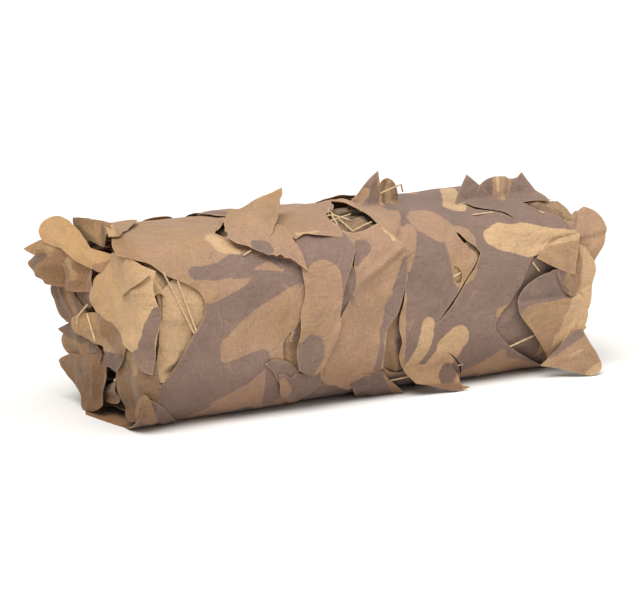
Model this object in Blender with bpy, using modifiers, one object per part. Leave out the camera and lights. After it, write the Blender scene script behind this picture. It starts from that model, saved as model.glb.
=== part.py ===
"""Camouflage netting, rolled up for carrying.

Leaf-cut garnish cloth on its net is wound into a flattened roll that lies on its side. The roll is
one wound solid whose turns show at both ends, and the leaves of cloth that stand loose from it are
thin sheets of their own.

+X runs along the roll, -Y is its front and +Z is up. The origin is the middle of the flat underside.
"""

import math
from collections import namedtuple

import bmesh
import bpy
from mathutils import Vector

MM = 0.001  # every size below is in millimetres

# The roll: a rounded box, wound from a strip that stands for a few layers of cloth and net
ROLL_LENGTH = 332.0
ROLL_DEPTH = 124.0
ROLL_HEIGHT = 118.0
CORNER_FRONT_LOW = 34.0
CORNER_FRONT_HIGH = 40.0
CORNER_BACK_HIGH = 40.0
CORNER_BACK_LOW = 26.0
STRIP_THICK = 8.1
STRIP_GAP = 1.4
WRAP_EDGE = 346.0  # distance round the section, from the middle of the underside, of the outer free edge
RAMP_BEFORE = 0.12  # shares of a turn, before and after the free edge's place, over which
RAMP_AFTER = 0.08  # the strip steps in under the turn outside it
EDGE_SINK = 1.8  # how far the free edge lies down towards the turn below it
TIGHTER = 0.5  # how much rounder than its neighbour outside each turn's corners are
POINTS_A_TURN = 30
POINTS_ALONG = 6
SLUMP = 1.6  # how far the sides sag inwards between the tight places

# How far each turn's edge stands back from the outer one, at the two ends of the roll
TurnEnd = namedtuple("TurnEnd", "left right")
TURN_ENDS = (
    TurnEnd(0.0, 0.0),
    TurnEnd(5.0, 4.0),
    TurnEnd(3.0, 7.0),
    TurnEnd(8.0, 5.0),
    TurnEnd(6.0, 9.0),
    TurnEnd(11.0, 8.0),
)
RAGGED = 1.4  # waviness of every turn's edge
RIM_LOW = 3.0  # the outer turn reaches this much further at the left end, along the underside
BACK_IN = 13.0  # and stands this much further in there, low at the back
BACK_IN_AT = 335.0  # the middle of that stretch, round the section
BACK_IN_REACH = 48.0

# The loose leaves of cloth
LEAF_THICK = 1.1
LEAF_ROWS = 8
LEAF_COLUMNS = 3
FLOOR_GAP = 0.4

CLOTH_COLOURS = {
    "tan": (0.40, 0.26, 0.16),
    "brown": (0.22, 0.15, 0.12),
    "ochre": (0.47, 0.32, 0.16),
}

# One row a leaf. face: side (p along the roll, q round the section), left or right (p to the right
# and q up, looking at that end). height is how far its root lies off that face. heading, bend and the
# two lifts are degrees: where the leaf points, how far it turns along its length, and its slope off
# the face at its root and at its tip. left_edge and right_edge are its half widths at the root, the
# quarters and the tip. round is the share of the length that ends in a round tip. cup raises both
# edges.
Leaf = namedtuple(
    "Leaf",
    "name face p q height heading bend length left_edge right_edge round root_lift tip_lift cup cloth",
)
LEAVES = (
    # Front
    Leaf("leaf_front_tongue", "side", -38, 160, 3.4, -88, -14, 94,
         (14, 19, 20, 17, 12), (20, 17, 17, 16, 13), 0.22, 0, 4, 0.8, "tan"),
    Leaf("leaf_front_long", "side", -2, 156, 1.5, -96, -18, 92,
         (10, 12, 16, 22, 24), (16, 18, 19, 20, 16), 0.18, 0, 3, 0.6, "tan"),
    Leaf("leaf_front_wide", "side", 48, 168, 1.5, -92, -12, 100,
         (22, 29, 28, 20, 16), (24, 29, 31, 30, 20), 0.15, 0, 3, 0.6, "brown"),
    Leaf("leaf_front_lobe", "side", 158, 98, 3.2, 184, 0, 47,
         (22, 30, 34, 24, 12), (12, 18, 21, 18, 9), 0.25, 0, 3, 0.5, "brown"),
    Leaf("leaf_shoulder", "side", -90, 168, 4.6, -36, 0, 47,
         (8, 11, 11, 8, 1), (10, 13, 12, 7, 1), 0.0, 4, 6, 0.6, "tan"),
    Leaf("leaf_low_fold", "side", -61, 79, 1.3, -86, 8, 32,
         (10, 11, 13, 12, 7), (11, 12, 12, 11, 7), 0.3, 0, 3, 0.4, "brown"),
    Leaf("leaf_floor_wide", "side", 6, 63, 1.6, -90, 0, 20,
         (26, 26, 25, 23, 18), (26, 25, 22, 18, 14), 0.0, 34, 62, 0.0, "brown"),
    Leaf("leaf_floor_spike", "side", 54, 60, 1.6, -44, 0, 30,
         (15, 12, 9, 5, 1), (9, 8, 6, 4, 1), 0.0, 42, 72, 0.0, "brown"),
    Leaf("leaf_floor_corner", "side", 158, 62, 1.6, -58, 0, 44,
         (14, 13, 10, 7, 2), (22, 19, 14, 8, 2), 0.0, 34, 70, 0.0, "tan"),
    # Top
    Leaf("leaf_peak_left", "side", -92, 169, 1.6, 29, 0, 60,
         (15, 19, 16, 9, 1), (15, 15, 10, 5, 1), 0.0, 6, 26, 0.8, "tan"),
    Leaf("leaf_peak_middle", "side", 20, 189, 1.6, 46, 0, 29,
         (16, 15, 11, 6, 1), (22, 19, 14, 8, 1), 0.0, 46, 58, 0.5, "brown"),
    Leaf("leaf_peak_curl", "side", 46, 197, 2.6, 80, 0, 25,
         (6, 8, 8, 8, 5), (6, 8, 8, 8, 5), 0.3, 42, 112, 1.5, "ochre"),
    Leaf("leaf_peak_right", "side", 100, 187, 1.6, 80, 0, 21,
         (18, 15, 11, 6, 1), (18, 14, 11, 6, 1), 0.0, 40, 50, 0.5, "brown"),
    Leaf("leaf_peak_far", "side", 140, 187, 1.6, 62, 0, 20,
         (18, 14, 10, 6, 1), (22, 18, 12, 6, 1), 0.0, 34, 46, 0.5, "brown"),
    Leaf("leaf_top_sheet", "side", 78, 222, 1.5, 182, -6, 84,
         (12, 15, 16, 13, 8), (13, 15, 13, 12, 8), 0.3, 0, 2, 0.6, "brown"),
    # Right end of the front
    Leaf("leaf_right_oval", "side", 163, 112, 8.6, 88, 0, 44,
         (6, 11, 14, 13, 10), (6, 14, 17, 16, 11), 0.4, 2, 14, 0.8, "tan"),
    Leaf("leaf_right_fold", "side", 162, 76, 5.6, 86, 0, 50,
         (5, 6, 7, 7, 5), (6, 9, 10, 9, 6), 0.3, 0, 0, 0.6, "ochre"),
    # Left end
    Leaf("leaf_end_tongue", "left", -6, 98, 6.0, 160, 0, 54,
         (7, 8, 10, 13, 12), (7, 8, 10, 13, 12), 0.32, 8, 18, -1.2, "tan"),
    Leaf("leaf_end_flap", "left", 6, 114, 2.0, 175, 0, 38,
         (4, 6, 6, 5, 2), (5, 6, 6, 5, 2), 0.2, 0, 14, 1.0, "tan"),
    Leaf("leaf_end_crumple", "left", -8, 82, 2.6, 170, 2, 58,
         (8, 11, 12, 11, 8), (7, 9, 10, 10, 7), 0.2, 6, 20, 1.2, "brown"),
    Leaf("leaf_end_back", "left", -32, 62, 2.2, 184, 0, 27,
         (8, 9, 9, 7, 3), (7, 7, 6, 5, 3), 0.2, 0, 6, 1.0, "brown"),
    Leaf("leaf_end_hook", "left", 29, 56, 4.2, 182, -6, 58,
         (7, 9, 10, 9, 5), (6, 9, 9, 8, 4), 0.3, 0, 2, -1.0, "ochre"),
    Leaf("leaf_end_square", "left", 4, 30, 3.6, 182, 2, 59,
         (13, 14, 14, 9, 2), (12, 12, 11, 6, 2), 0.0, 0, 2, 0.5, "brown"),
    Leaf("leaf_end_large", "left", 62, 94, 7.8, 188, 6, 74,
         (18, 28, 27, 19, 10), (11, 17, 18, 15, 8), 0.25, 0, 0, -1.0, "tan"),
    Leaf("leaf_end_low", "left", 59, 33, 5.0, 180, -6, 39,
         (16, 20, 21, 18, 12), (10, 14, 15, 12, 8), 0.4, 0, 0, -1.0, "tan"),
    # Right end
    Leaf("leaf_far_upper", "right", -40, 84, 5.4, 20, -10, 62,
         (12, 17, 18, 15, 8), (12, 15, 16, 14, 8), 0.3, 0, 8, -1.5, "tan"),
    Leaf("leaf_far_lower", "right", 44, 44, 3.4, 186, 14, 58,
         (14, 18, 18, 14, 6), (12, 16, 17, 13, 6), 0.2, 3, 10, 1.5, "brown"),
    Leaf("leaf_far_tip", "right", 14, 96, 2.6, 12, 0, 44,
         (9, 10, 10, 8, 2), (9, 11, 9, 6, 2), 0.1, 0, 2, 0.5, "ochre"),
    # Back
    Leaf("leaf_back_left", "side", -118, 282, 1.5, 52, 12, 62,
         (14, 18, 18, 14, 8), (14, 16, 15, 12, 8), 0.25, 0, 6, 0.8, "brown"),
    Leaf("leaf_back_middle", "side", -36, 286, 1.5, 84, -14, 54,
         (14, 19, 18, 13, 5), (13, 17, 19, 14, 5), 0.2, 0, 6, 0.8, "tan"),
    Leaf("leaf_back_right", "side", 58, 284, 1.5, 68, 10, 56,
         (15, 19, 20, 16, 8), (14, 20, 18, 13, 8), 0.3, 0, 6, 0.8, "brown"),
    Leaf("leaf_back_end", "side", 128, 286, 1.5, 96, -8, 52,
         (12, 17, 17, 12, 3), (14, 16, 16, 12, 3), 0.1, 0, 8, 0.8, "ochre"),
    Leaf("leaf_back_peak", "side", -62, 214, 1.5, 118, 0, 50,
         (14, 13, 10, 6, 1), (13, 13, 11, 7, 1), 0.0, 0, 6, 0.4, "tan"),
)


def clear_scene():
    for old in list(bpy.data.objects):
        bpy.data.objects.remove(old, do_unlink=True)


def cloth_material(name, colour):
    material = bpy.data.materials.new(name)
    material.use_nodes = True
    shader = material.node_tree.nodes["Principled BSDF"]
    shader.inputs["Base Color"].default_value = (*colour, 1.0)
    shader.inputs["Roughness"].default_value = 0.85
    shader.inputs["Metallic"].default_value = 0.0
    return material


def smoothstep(x):
    x = min(max(x, 0.0), 1.0)
    return x * x * (3.0 - 2.0 * x)


def section_pieces(inset):
    """The section as runs and arcs, from the middle of the underside to the front, up and over."""
    half_y = ROLL_DEPTH / 2 - inset
    half_z = ROLL_HEIGHT / 2 - inset
    low, high = inset, ROLL_HEIGHT - inset

    def corner(size):
        return min(max(size - TIGHTER * inset, 6.0), half_y, half_z)

    front_low, front_high = corner(CORNER_FRONT_LOW), corner(CORNER_FRONT_HIGH)
    back_high, back_low = corner(CORNER_BACK_HIGH), corner(CORNER_BACK_LOW)
    return (
        ("run", (0.0, low), (front_low - half_y, low)),
        ("arc", (front_low - half_y, low + front_low), front_low, 270.0),
        ("run", (-half_y, low + front_low), (-half_y, high - front_high)),
        ("arc", (front_high - half_y, high - front_high), front_high, 180.0),
        ("run", (front_high - half_y, high), (half_y - back_high, high)),
        ("arc", (half_y - back_high, high - back_high), back_high, 90.0),
        ("run", (half_y, high - back_high), (half_y, low + back_low)),
        ("arc", (half_y - back_low, low + back_low), back_low, 0.0),
        ("run", (half_y - back_low, low), (0.0, low)),
    )


def piece_length(piece):
    if piece[0] == "arc":
        return piece[2] * math.pi / 2
    return math.dist(piece[1], piece[2])


OUTER_PIECES = section_pieces(0.0)
OUTER_LENGTHS = [piece_length(piece) for piece in OUTER_PIECES]
PERIMETER = sum(OUTER_LENGTHS)
FLAT_FRONT = OUTER_LENGTHS[0]
FLAT_BACK = PERIMETER - OUTER_LENGTHS[-1]


def section_point(q, inset=0.0):
    """(y, z) and the outward (y, z) normal at distance q round the outer section, inset by so much."""
    q %= PERIMETER
    for piece, length in zip(section_pieces(inset), OUTER_LENGTHS):
        if q <= length:
            break
        q -= length
    share = min(q / length, 1.0)
    if piece[0] == "arc":
        angle = math.radians(piece[3] - 90.0 * share)
        normal = (math.cos(angle), math.sin(angle))
        centre, radius = piece[1], piece[2]
        return (centre[0] + radius * normal[0], centre[1] + radius * normal[1]), normal
    start, end = piece[1], piece[2]
    along = Vector((end[0] - start[0], end[1] - start[1]))
    if along.length < 1e-6:
        along = Vector((-1.0, 0.0)) if start[1] <= ROLL_HEIGHT / 2 else Vector((1.0, 0.0))
    along.normalize()
    point = (start[0] + (end[0] - start[0]) * share, start[1] + (end[1] - start[1]) * share)
    return point, (-along.y, along.x)


def slump(p, q):
    """How far the roll's surface lies inside its rounded box: nothing along the flat underside."""
    q %= PERIMETER
    off_flat = min(q - FLAT_FRONT, FLAT_BACK - q)
    waves = 0.5 + 0.3 * math.sin(p / 27.0 + q / 38.0) + 0.2 * math.sin(p / 13.0 - q / 21.0 + 1.0)
    return SLUMP * waves * smoothstep(off_flat / 30.0)


def side_point(p, q, height):
    """A point at a height over the roll's surface, kept above the floor."""
    (y, z), (normal_y, normal_z) = section_point(q)
    height -= slump(p, q)
    floor = FLOOR_GAP + LEAF_THICK / 2
    return Vector((p, y + normal_y * height, max(z + normal_z * height, floor))) * MM


def end_point(face, p, q, height):
    """A point at a height outside one of the roll's two ends."""
    out = ROLL_LENGTH / 2 + height
    floor = FLOOR_GAP + LEAF_THICK / 2
    return Vector((-out, -p, max(q, floor)) if face == "left" else (out, p, max(q, floor))) * MM


def strip_depth(turns):
    """How deep the strip's outer face lies after so many turns: each turn steps in at the free edge."""
    ramp = RAMP_BEFORE + RAMP_AFTER
    whole = math.floor(turns - RAMP_AFTER)
    step = smoothstep((turns - RAMP_AFTER - whole - (1.0 - ramp)) / ramp)
    sink = EDGE_SINK * (1.0 - smoothstep(turns / RAMP_AFTER))
    return max((STRIP_THICK + STRIP_GAP) * (whole + step), 0.0) + sink


def strip_end(turns, end):
    """Where the strip's edge lies along X after so many turns, at the left or the right end."""
    whole = min(int(turns), len(TURN_ENDS) - 1)
    after = min(whole + 1, len(TURN_ENDS) - 1)
    share = turns - whole
    back = getattr(TURN_ENDS[whole], end) * (1 - share) + getattr(TURN_ENDS[after], end) * share
    if whole == 0:
        back = getattr(TURN_ENDS[1], end) * smoothstep((share - (1.0 - RAMP_BEFORE)) / RAMP_BEFORE)
    angle = 2 * math.pi * turns
    back += RAGGED * (math.sin(5 * angle + 2 * whole) + 0.6 * math.sin(11 * angle + whole))
    if end == "left":
        from_back = abs((WRAP_EDGE + turns * PERIMETER - BACK_IN_AT + PERIMETER / 2) % PERIMETER - PERIMETER / 2)
        back += BACK_IN * smoothstep(1.5 - 1.5 * from_back / BACK_IN_REACH)
        from_under = abs((WRAP_EDGE + turns * PERIMETER + PERIMETER / 2) % PERIMETER - PERIMETER / 2)
        back -= RIM_LOW * smoothstep(1.5 - from_under / FLAT_FRONT) * (whole == 0)
    return ROLL_LENGTH / 2 - back


def roll_mesh():
    """The wound strip, as a loft of its outer and inner faces closed along all four edges."""
    mesh = bmesh.new()
    whole_turns = len(TURN_ENDS) - RAMP_BEFORE
    stations = int(whole_turns * POINTS_A_TURN)
    outer, inner = [], []
    for station in range(stations + 1):
        turns = whole_turns * station / stations
        q = WRAP_EDGE + turns * PERIMETER
        outside = strip_depth(turns)
        inside = strip_depth(turns + 1.0) - STRIP_GAP
        left, right = -strip_end(turns, "left"), strip_end(turns, "right")
        rows = ([], [])
        for column in range(POINTS_ALONG + 1):
            x = left + (right - left) * column / POINTS_ALONG
            for face, inset in zip(rows, (outside, inside)):
                (y, z), (normal_y, normal_z) = section_point(q, inset)
                sag = slump(x, q) * smoothstep(2.0 - turns)
                point = Vector((x, y - normal_y * sag, z - normal_z * sag)) * MM
                face.append(mesh.verts.new(point))
        outer.append(rows[0])
        inner.append(rows[1])
    for one, two in zip(range(stations), range(1, stations + 1)):
        for column in range(POINTS_ALONG):
            after = column + 1
            mesh.faces.new((outer[one][column], outer[one][after], outer[two][after], outer[two][column]))
            mesh.faces.new((inner[one][column], inner[two][column], inner[two][after], inner[one][after]))
        for column in (0, POINTS_ALONG):
            mesh.faces.new((outer[one][column], outer[two][column], inner[two][column], inner[one][column]))
    for station in (0, stations):
        for column in range(POINTS_ALONG):
            after = column + 1
            mesh.faces.new((outer[station][column], outer[station][after],
                            inner[station][after], inner[station][column]))
    bmesh.ops.recalc_face_normals(mesh, faces=mesh.faces)
    return mesh


def edge_width(widths, share):
    """A leaf's half width between its five stated ones, on a smooth curve through them."""
    place = min(share, 0.9999) * (len(widths) - 1)
    first = int(place)
    t = place - first
    before, here = widths[max(first - 1, 0)], widths[first]
    after, later = widths[first + 1], widths[min(first + 2, len(widths) - 1)]
    slope_here, slope_after = (after - before) / 2, (later - here) / 2
    return ((2 * t**3 - 3 * t**2 + 1) * here + (t**3 - 2 * t**2 + t) * slope_here
            + (3 * t**2 - 2 * t**3) * after + (t**3 - t**2) * slope_after)


def leaf_spine(leaf, share):
    """(p, q, heading, height) after a share of the leaf's length, walked in short steps."""
    steps = 24
    p, q, height = leaf.p, leaf.q, leaf.height
    heading = math.radians(leaf.heading)
    for step in range(int(round(share * steps))):
        middle = (step + 0.5) / steps
        heading = math.radians(leaf.heading + leaf.bend * middle)
        lift = math.radians(leaf.root_lift + (leaf.tip_lift - leaf.root_lift) * middle)
        stride = leaf.length / steps
        p += stride * math.cos(lift) * math.cos(heading)
        q += stride * math.cos(lift) * math.sin(heading)
        height += stride * math.sin(lift)
    return p, q, heading, height


def leaf_point(leaf, share, side):
    """A point of the leaf: share runs from root to tip, side from -1 (right edge) to 1 (left edge)."""
    p, q, heading, height = leaf_spine(leaf, share)
    width = edge_width(leaf.left_edge if side > 0 else leaf.right_edge, share)
    if leaf.round and share > 1 - leaf.round:
        past = (share - 1 + leaf.round) / leaf.round
        width *= math.sqrt(max(1 - past * past, 0.02))
    across = max(width, 0.8) * side
    p -= across * math.sin(heading)
    q += across * math.cos(heading)
    height += leaf.cup * side * side
    if leaf.face == "side":
        return side_point(p, q, height)
    return end_point(leaf.face, p, q, height)


def leaf_mesh(leaf):
    """The leaf's middle surface, from a grid whose rows run from root to tip."""
    mesh = bmesh.new()
    bmesh.ops.create_grid(mesh, x_segments=LEAF_COLUMNS, y_segments=LEAF_ROWS, size=0.5)
    for vert in mesh.verts:
        share = round((vert.co.y + 0.5) * LEAF_ROWS) / LEAF_ROWS
        vert.co = leaf_point(leaf, share, -2 * vert.co.x)
    return mesh


def add_object(name, mesh, material, collection):
    data = bpy.data.meshes.new(name)
    mesh.to_mesh(data)
    mesh.free()
    data.materials.append(material)
    data.shade_smooth()
    data.set_sharp_from_angle(angle=math.radians(40))
    made = bpy.data.objects.new(name, data)
    collection.objects.link(made)
    return made


def add_roll(collection, materials):
    return add_object("roll", roll_mesh(), materials["brown"], collection)


def add_leaf(leaf, collection, materials):
    made = add_object(leaf.name, leaf_mesh(leaf), materials[leaf.cloth], collection)
    wall = made.modifiers.new("cloth", "SOLIDIFY")
    wall.thickness = LEAF_THICK * MM
    wall.offset = 0.0
    return made


def main():
    clear_scene()
    collection = bpy.data.collections.new("camouflage_netting")
    bpy.context.scene.collection.children.link(collection)
    materials = {name: cloth_material(f"cloth_{name}", colour) for name, colour in CLOTH_COLOURS.items()}
    add_roll(collection, materials)
    for leaf in LEAVES:
        add_leaf(leaf, collection, materials)


main()
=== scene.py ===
"""The looks of a rolled camouflage netting: printed garnish cloth, cut into leaves, wound up on its net."""

import math
from collections import namedtuple

import bpy
import numpy as np
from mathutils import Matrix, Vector
from mathutils.geometry import delaunay_2d_cdt


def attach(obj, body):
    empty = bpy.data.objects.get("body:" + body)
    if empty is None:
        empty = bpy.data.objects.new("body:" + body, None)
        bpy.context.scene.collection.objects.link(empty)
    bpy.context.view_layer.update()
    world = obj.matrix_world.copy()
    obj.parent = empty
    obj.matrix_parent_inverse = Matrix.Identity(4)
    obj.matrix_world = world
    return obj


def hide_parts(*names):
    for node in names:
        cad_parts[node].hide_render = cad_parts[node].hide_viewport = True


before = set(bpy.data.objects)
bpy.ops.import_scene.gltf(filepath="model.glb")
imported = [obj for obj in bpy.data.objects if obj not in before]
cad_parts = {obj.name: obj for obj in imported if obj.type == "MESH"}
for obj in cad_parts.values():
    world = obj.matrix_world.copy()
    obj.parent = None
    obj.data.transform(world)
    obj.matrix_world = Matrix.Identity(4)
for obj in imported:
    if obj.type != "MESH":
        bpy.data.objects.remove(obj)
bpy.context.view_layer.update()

MM = 0.001  # every size below is in millimetres
bpy.ops.object.select_all(action="DESELECT")


# ---- The cloth ---------------------------------------------------------------------------------
# Garnish cloth is a thin, closely woven and coated cotton or polyester, printed in three colours on
# its face. The print shows weakly on its paler back, and its cut edges are raw and lighter.
TAN = "a4836a"
WARM_TAN = "a28258"  # where the coating has yellowed
BROWN = "826b5f"
OCHRE = "c09f79"
BACK = "b2916c"  # the unprinted back, an ochre tan
RAW_EDGE = "cbaa80"
FLOOR_SHADE = (0.66, 0.57, 0.52, 1.0)  # painted shade: how much of each colour's light is left near the floor
END_SHADE = (0.86, 0.77, 0.62, 1.0)  # and painted warm shade over the left end

CLOTH = 0.35  # thickness
THREAD = 0.7  # spacing of the threads, drawn about twice as coarse as they are so that they show
SLUB, SLUB_STRETCH = 1.05, 0.16  # how wide a thick stretch of thread is, and that over its length
UV_PER_MM = 0.01  # the cloth's flat pattern, in the UV map named cloth
# How far apart the cloth's other marks are
INK_WAVER = 2.38
YELLOWING, FADING, FLECKS = 77.0, 26.3, 1.429
CRACKS, CRACK_WANDER = 15.87, 38.5
CRUMPLING, DENTS = 27.8, 13.33


def linear(code):
    """An sRGB hex colour as linear RGBA."""
    parts = [int(code[i:i + 2], 16) / 255 for i in (0, 2, 4)]
    return (*[c / 12.92 if c <= 0.04045 else ((c + 0.055) / 1.055) ** 2.4 for c in parts], 1.0)


def marks(spacing, unit=MM):
    """A texture's scale, as whole marks in a metre, or in another unit, for marks so far apart."""
    return round(1 / (spacing * unit))


def add_node(tree, kind, settings=None, **inputs):
    """A new node: settings are its properties, and inputs its sockets' values or links."""
    node = tree.nodes.new(kind)
    for name, value in (settings or {}).items():
        setattr(node, name, value)
    for name, value in inputs.items():
        key = int(name[1:]) if name[0] == "_" else name.replace("_", " ")
        if isinstance(value, bpy.types.NodeSocket):
            tree.links.new(value, node.inputs[key])
        else:
            node.inputs[key].default_value = value
    return node


def new_material(name):
    material = bpy.data.materials.new(name)
    material.use_nodes = True
    return material, material.node_tree, material.node_tree.nodes["Principled BSDF"]


def cloth_material(name, face):
    """The cloth's printed face, its back or its cut edge, told apart by the name of the face."""
    material, tree, shader = new_material(name)
    flat = add_node(tree, "ShaderNodeUVMap", {"uv_map": "cloth"}).outputs["UV"]
    place = add_node(tree, "ShaderNodeTexCoord").outputs["Object"]

    def attribute(which):
        return add_node(tree, "ShaderNodeAttribute", {"attribute_name": which}).outputs["Fac"]

    # Ink: each colour's field holds millimetres to its border, which wavers by a thread or two.
    # It is strong on the face, weak on the back and weaker on the cut edge.
    waver = add_node(tree, "ShaderNodeTexNoise", Vector=place, Scale=marks(INK_WAVER),
                     Detail=3.0).outputs["Fac"]
    blot = add_node(tree, "ShaderNodeMath", {"operation": "MULTIPLY_ADD"},
                    _0=waver, _1=1.8, _2=-0.9).outputs["Value"]
    drift = add_node(tree, "ShaderNodeTexNoise", Vector=place, Scale=marks(YELLOWING),
                     Detail=2.0).outputs["Fac"]
    warm = add_node(tree, "ShaderNodeMapRange", Value=drift, From_Min=0.4, From_Max=0.62, To_Max=0.55)
    colour = add_node(tree, "ShaderNodeMix", {"data_type": "RGBA"}, _0=warm.outputs["Result"],
                      _6=linear(TAN if face != "back" else BACK), _7=linear(WARM_TAN)).outputs[2]
    strength = {"front": 1.0, "back": 0.5, "edge": 0.35}[face]
    soft = 1.2 if face == "back" else 0.5
    for which, ink in (("brown", BROWN), ("ochre", OCHRE)):
        field = add_node(tree, "ShaderNodeMath", {"operation": "ADD"},
                         _0=attribute(which), _1=blot).outputs["Value"]
        inked = add_node(tree, "ShaderNodeMapRange", {"interpolation_type": "SMOOTHSTEP"}, Value=field,
                         From_Min=soft, From_Max=-soft, To_Max=strength).outputs["Result"]
        colour = add_node(tree, "ShaderNodeMix", {"data_type": "RGBA"},
                          _0=inked, _6=colour, _7=linear(ink)).outputs[2]

    # Wear: cloudy fading, pale lines where the coating has cracked, and a pale band along cuts
    cloud = add_node(tree, "ShaderNodeTexNoise", Vector=place, Scale=marks(FADING), Detail=4.0,
                     Roughness=0.6).outputs["Fac"]
    faded = add_node(tree, "ShaderNodeMapRange", Value=cloud,
                     From_Min=0.3, From_Max=0.7, To_Min=-0.10, To_Max=0.10).outputs["Result"]
    bend = add_node(tree, "ShaderNodeTexNoise", Vector=place, Scale=marks(CRACK_WANDER),
                    Detail=2.0).outputs["Color"]
    bent = add_node(tree, "ShaderNodeMix", {"data_type": "VECTOR"},
                    _0=0.045, _4=place, _5=bend).outputs[1]
    crack = add_node(tree, "ShaderNodeTexVoronoi", {"feature": "DISTANCE_TO_EDGE"},
                     Vector=bent, Scale=marks(CRACKS)).outputs["Distance"]
    cracked = add_node(tree, "ShaderNodeMapRange", Value=crack,
                       From_Min=0.0, From_Max=0.018, To_Min=1.0, To_Max=0.0).outputs["Result"]
    patch = add_node(tree, "ShaderNodeMapRange", Value=cloud,
                     From_Min=0.5, From_Max=0.64, To_Max=0.25).outputs["Result"]
    pale = add_node(tree, "ShaderNodeMath", {"operation": "MULTIPLY"},
                    _0=cracked, _1=patch).outputs["Value"]
    if face == "front":
        rim = add_node(tree, "ShaderNodeMapRange", Value=attribute("edge"),
                       From_Min=0.0, From_Max=0.9, To_Min=0.24, To_Max=0.0).outputs["Result"]
        pale = add_node(tree, "ShaderNodeMath", {"operation": "ADD"}, _0=pale, _1=rim).outputs["Value"]
    worn = add_node(tree, "ShaderNodeMix", {"data_type": "RGBA"},
                    _0=pale, _6=colour, _7=linear(RAW_EDGE)).outputs[2]
    if face == "edge":
        worn = add_node(tree, "ShaderNodeMix", {"data_type": "RGBA"},
                        _0=0.55, _6=worn, _7=linear(RAW_EDGE)).outputs[2]

    # Weave: warp and weft as two crossed waves, a little uneven, one thread apart. A wave texture of
    # scale 1 has 20 waves in 2 pi.
    warp, weft = (
        add_node(tree, "ShaderNodeTexWave", {"wave_type": "BANDS", "bands_direction": direction},
                 Vector=flat, Scale=2 * math.pi / 20 / (THREAD * UV_PER_MM), Distortion=1.2,
                 Detail=2.0, Detail_Scale=1.5).outputs["Fac"] for direction in ("X", "Y"))
    weave = add_node(tree, "ShaderNodeMath", {"operation": "MULTIPLY"}, _0=warp, _1=weft).outputs["Value"]

    # Tone: fading, slubs that are darker or lighter for a few millimetres, flecks, and each piece's own
    # lightness, which paints the light and shade where the piece lies
    tone = faded
    for stretch in ((1.0, SLUB_STRETCH, 1.0), (SLUB_STRETCH, 1.0, 1.0)):
        drawn = add_node(tree, "ShaderNodeMapping", Vector=flat, Scale=stretch).outputs["Vector"]
        grain = add_node(tree, "ShaderNodeTexNoise", Vector=drawn, Scale=marks(SLUB, UV_PER_MM),
                         Detail=2.0).outputs["Fac"]
        slub = add_node(tree, "ShaderNodeMapRange", Value=grain, From_Min=0.3, From_Max=0.7,
                        To_Min=-0.075, To_Max=0.075).outputs["Result"]
        tone = add_node(tree, "ShaderNodeMath", {"operation": "ADD"}, _0=tone, _1=slub).outputs["Value"]
    mottle = add_node(tree, "ShaderNodeTexNoise", Vector=place, Scale=marks(FLECKS),
                      Detail=2.0).outputs["Fac"]
    fleck = add_node(tree, "ShaderNodeMapRange", Value=mottle, From_Min=0.3, From_Max=0.7,
                     To_Min=-0.07, To_Max=0.07).outputs["Result"]
    for part in (fleck, attribute("shade")):
        tone = add_node(tree, "ShaderNodeMath", {"operation": "ADD"}, _0=tone, _1=part).outputs["Value"]
    toned = add_node(tree, "ShaderNodeHueSaturation", Value=tone, Color=worn).outputs["Color"]

    # Painted shade: darker toward the floor, where less light reaches
    spot = add_node(tree, "ShaderNodeSeparateXYZ", Vector=place).outputs
    low = add_node(tree, "ShaderNodeMapRange", {"interpolation_type": "SMOOTHSTEP"}, Value=spot["Z"],
                   From_Min=0.05, From_Max=0.0, To_Max=attribute("soil")).outputs["Result"]
    floor_shaded = add_node(tree, "ShaderNodeMix", {"data_type": "RGBA", "blend_type": "MULTIPLY"},
                      _0=low, _6=toned, _7=FLOOR_SHADE).outputs[2]
    # Painted warm shade over the left end, more toward its back
    outer = add_node(tree, "ShaderNodeMapRange", Value=spot["X"],
                     From_Min=-0.158, From_Max=-0.168).outputs["Result"]
    rear = add_node(tree, "ShaderNodeMapRange", Value=spot["Y"], From_Min=-0.085, From_Max=-0.01,
                    To_Max=outer).outputs["Result"]
    end_shaded = add_node(tree, "ShaderNodeMix", {"data_type": "RGBA", "blend_type": "MULTIPLY"},
                    _0=rear, _6=floor_shaded, _7=END_SHADE).outputs[2]
    tree.links.new(end_shaded, shader.inputs["Base Color"])

    # Relief: the weave, dents, the fine crumpling of coated cloth, and its cracks
    threads = add_node(tree, "ShaderNodeBump", Strength=0.25, Distance=0.0002, Height=weave)
    dent = add_node(tree, "ShaderNodeTexNoise", Vector=bent, Scale=marks(DENTS), Detail=3.0).outputs["Fac"]
    dented = add_node(tree, "ShaderNodeBump", Strength=0.6, Distance=0.0034, Height=dent,
                      Normal=threads.outputs["Normal"])
    crumple = add_node(tree, "ShaderNodeTexNoise", {"noise_type": "RIDGED_MULTIFRACTAL"}, Vector=place,
                       Scale=marks(CRUMPLING), Detail=4.0, Roughness=0.5).outputs["Fac"]
    creased = add_node(tree, "ShaderNodeBump", Strength=0.95, Distance=0.0036, Height=crumple,
                       Normal=dented.outputs["Normal"])
    valley = add_node(tree, "ShaderNodeMapRange", {"interpolation_type": "SMOOTHSTEP"}, Value=crack,
                      From_Min=0.0, From_Max=0.11).outputs["Result"]
    relief = add_node(tree, "ShaderNodeBump", Strength=0.3, Distance=0.0008, Height=valley,
                      Normal=creased.outputs["Normal"])
    tree.links.new(relief.outputs["Normal"], shader.inputs["Normal"])
    # A matt coating with a faint bloom
    shader.inputs["Roughness"].default_value = 0.78
    shader.inputs["Specular IOR Level"].default_value = 0.3
    shader.inputs["Sheen Weight"].default_value = 0.12
    shader.inputs["Sheen Roughness"].default_value = 0.5
    return material


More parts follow.
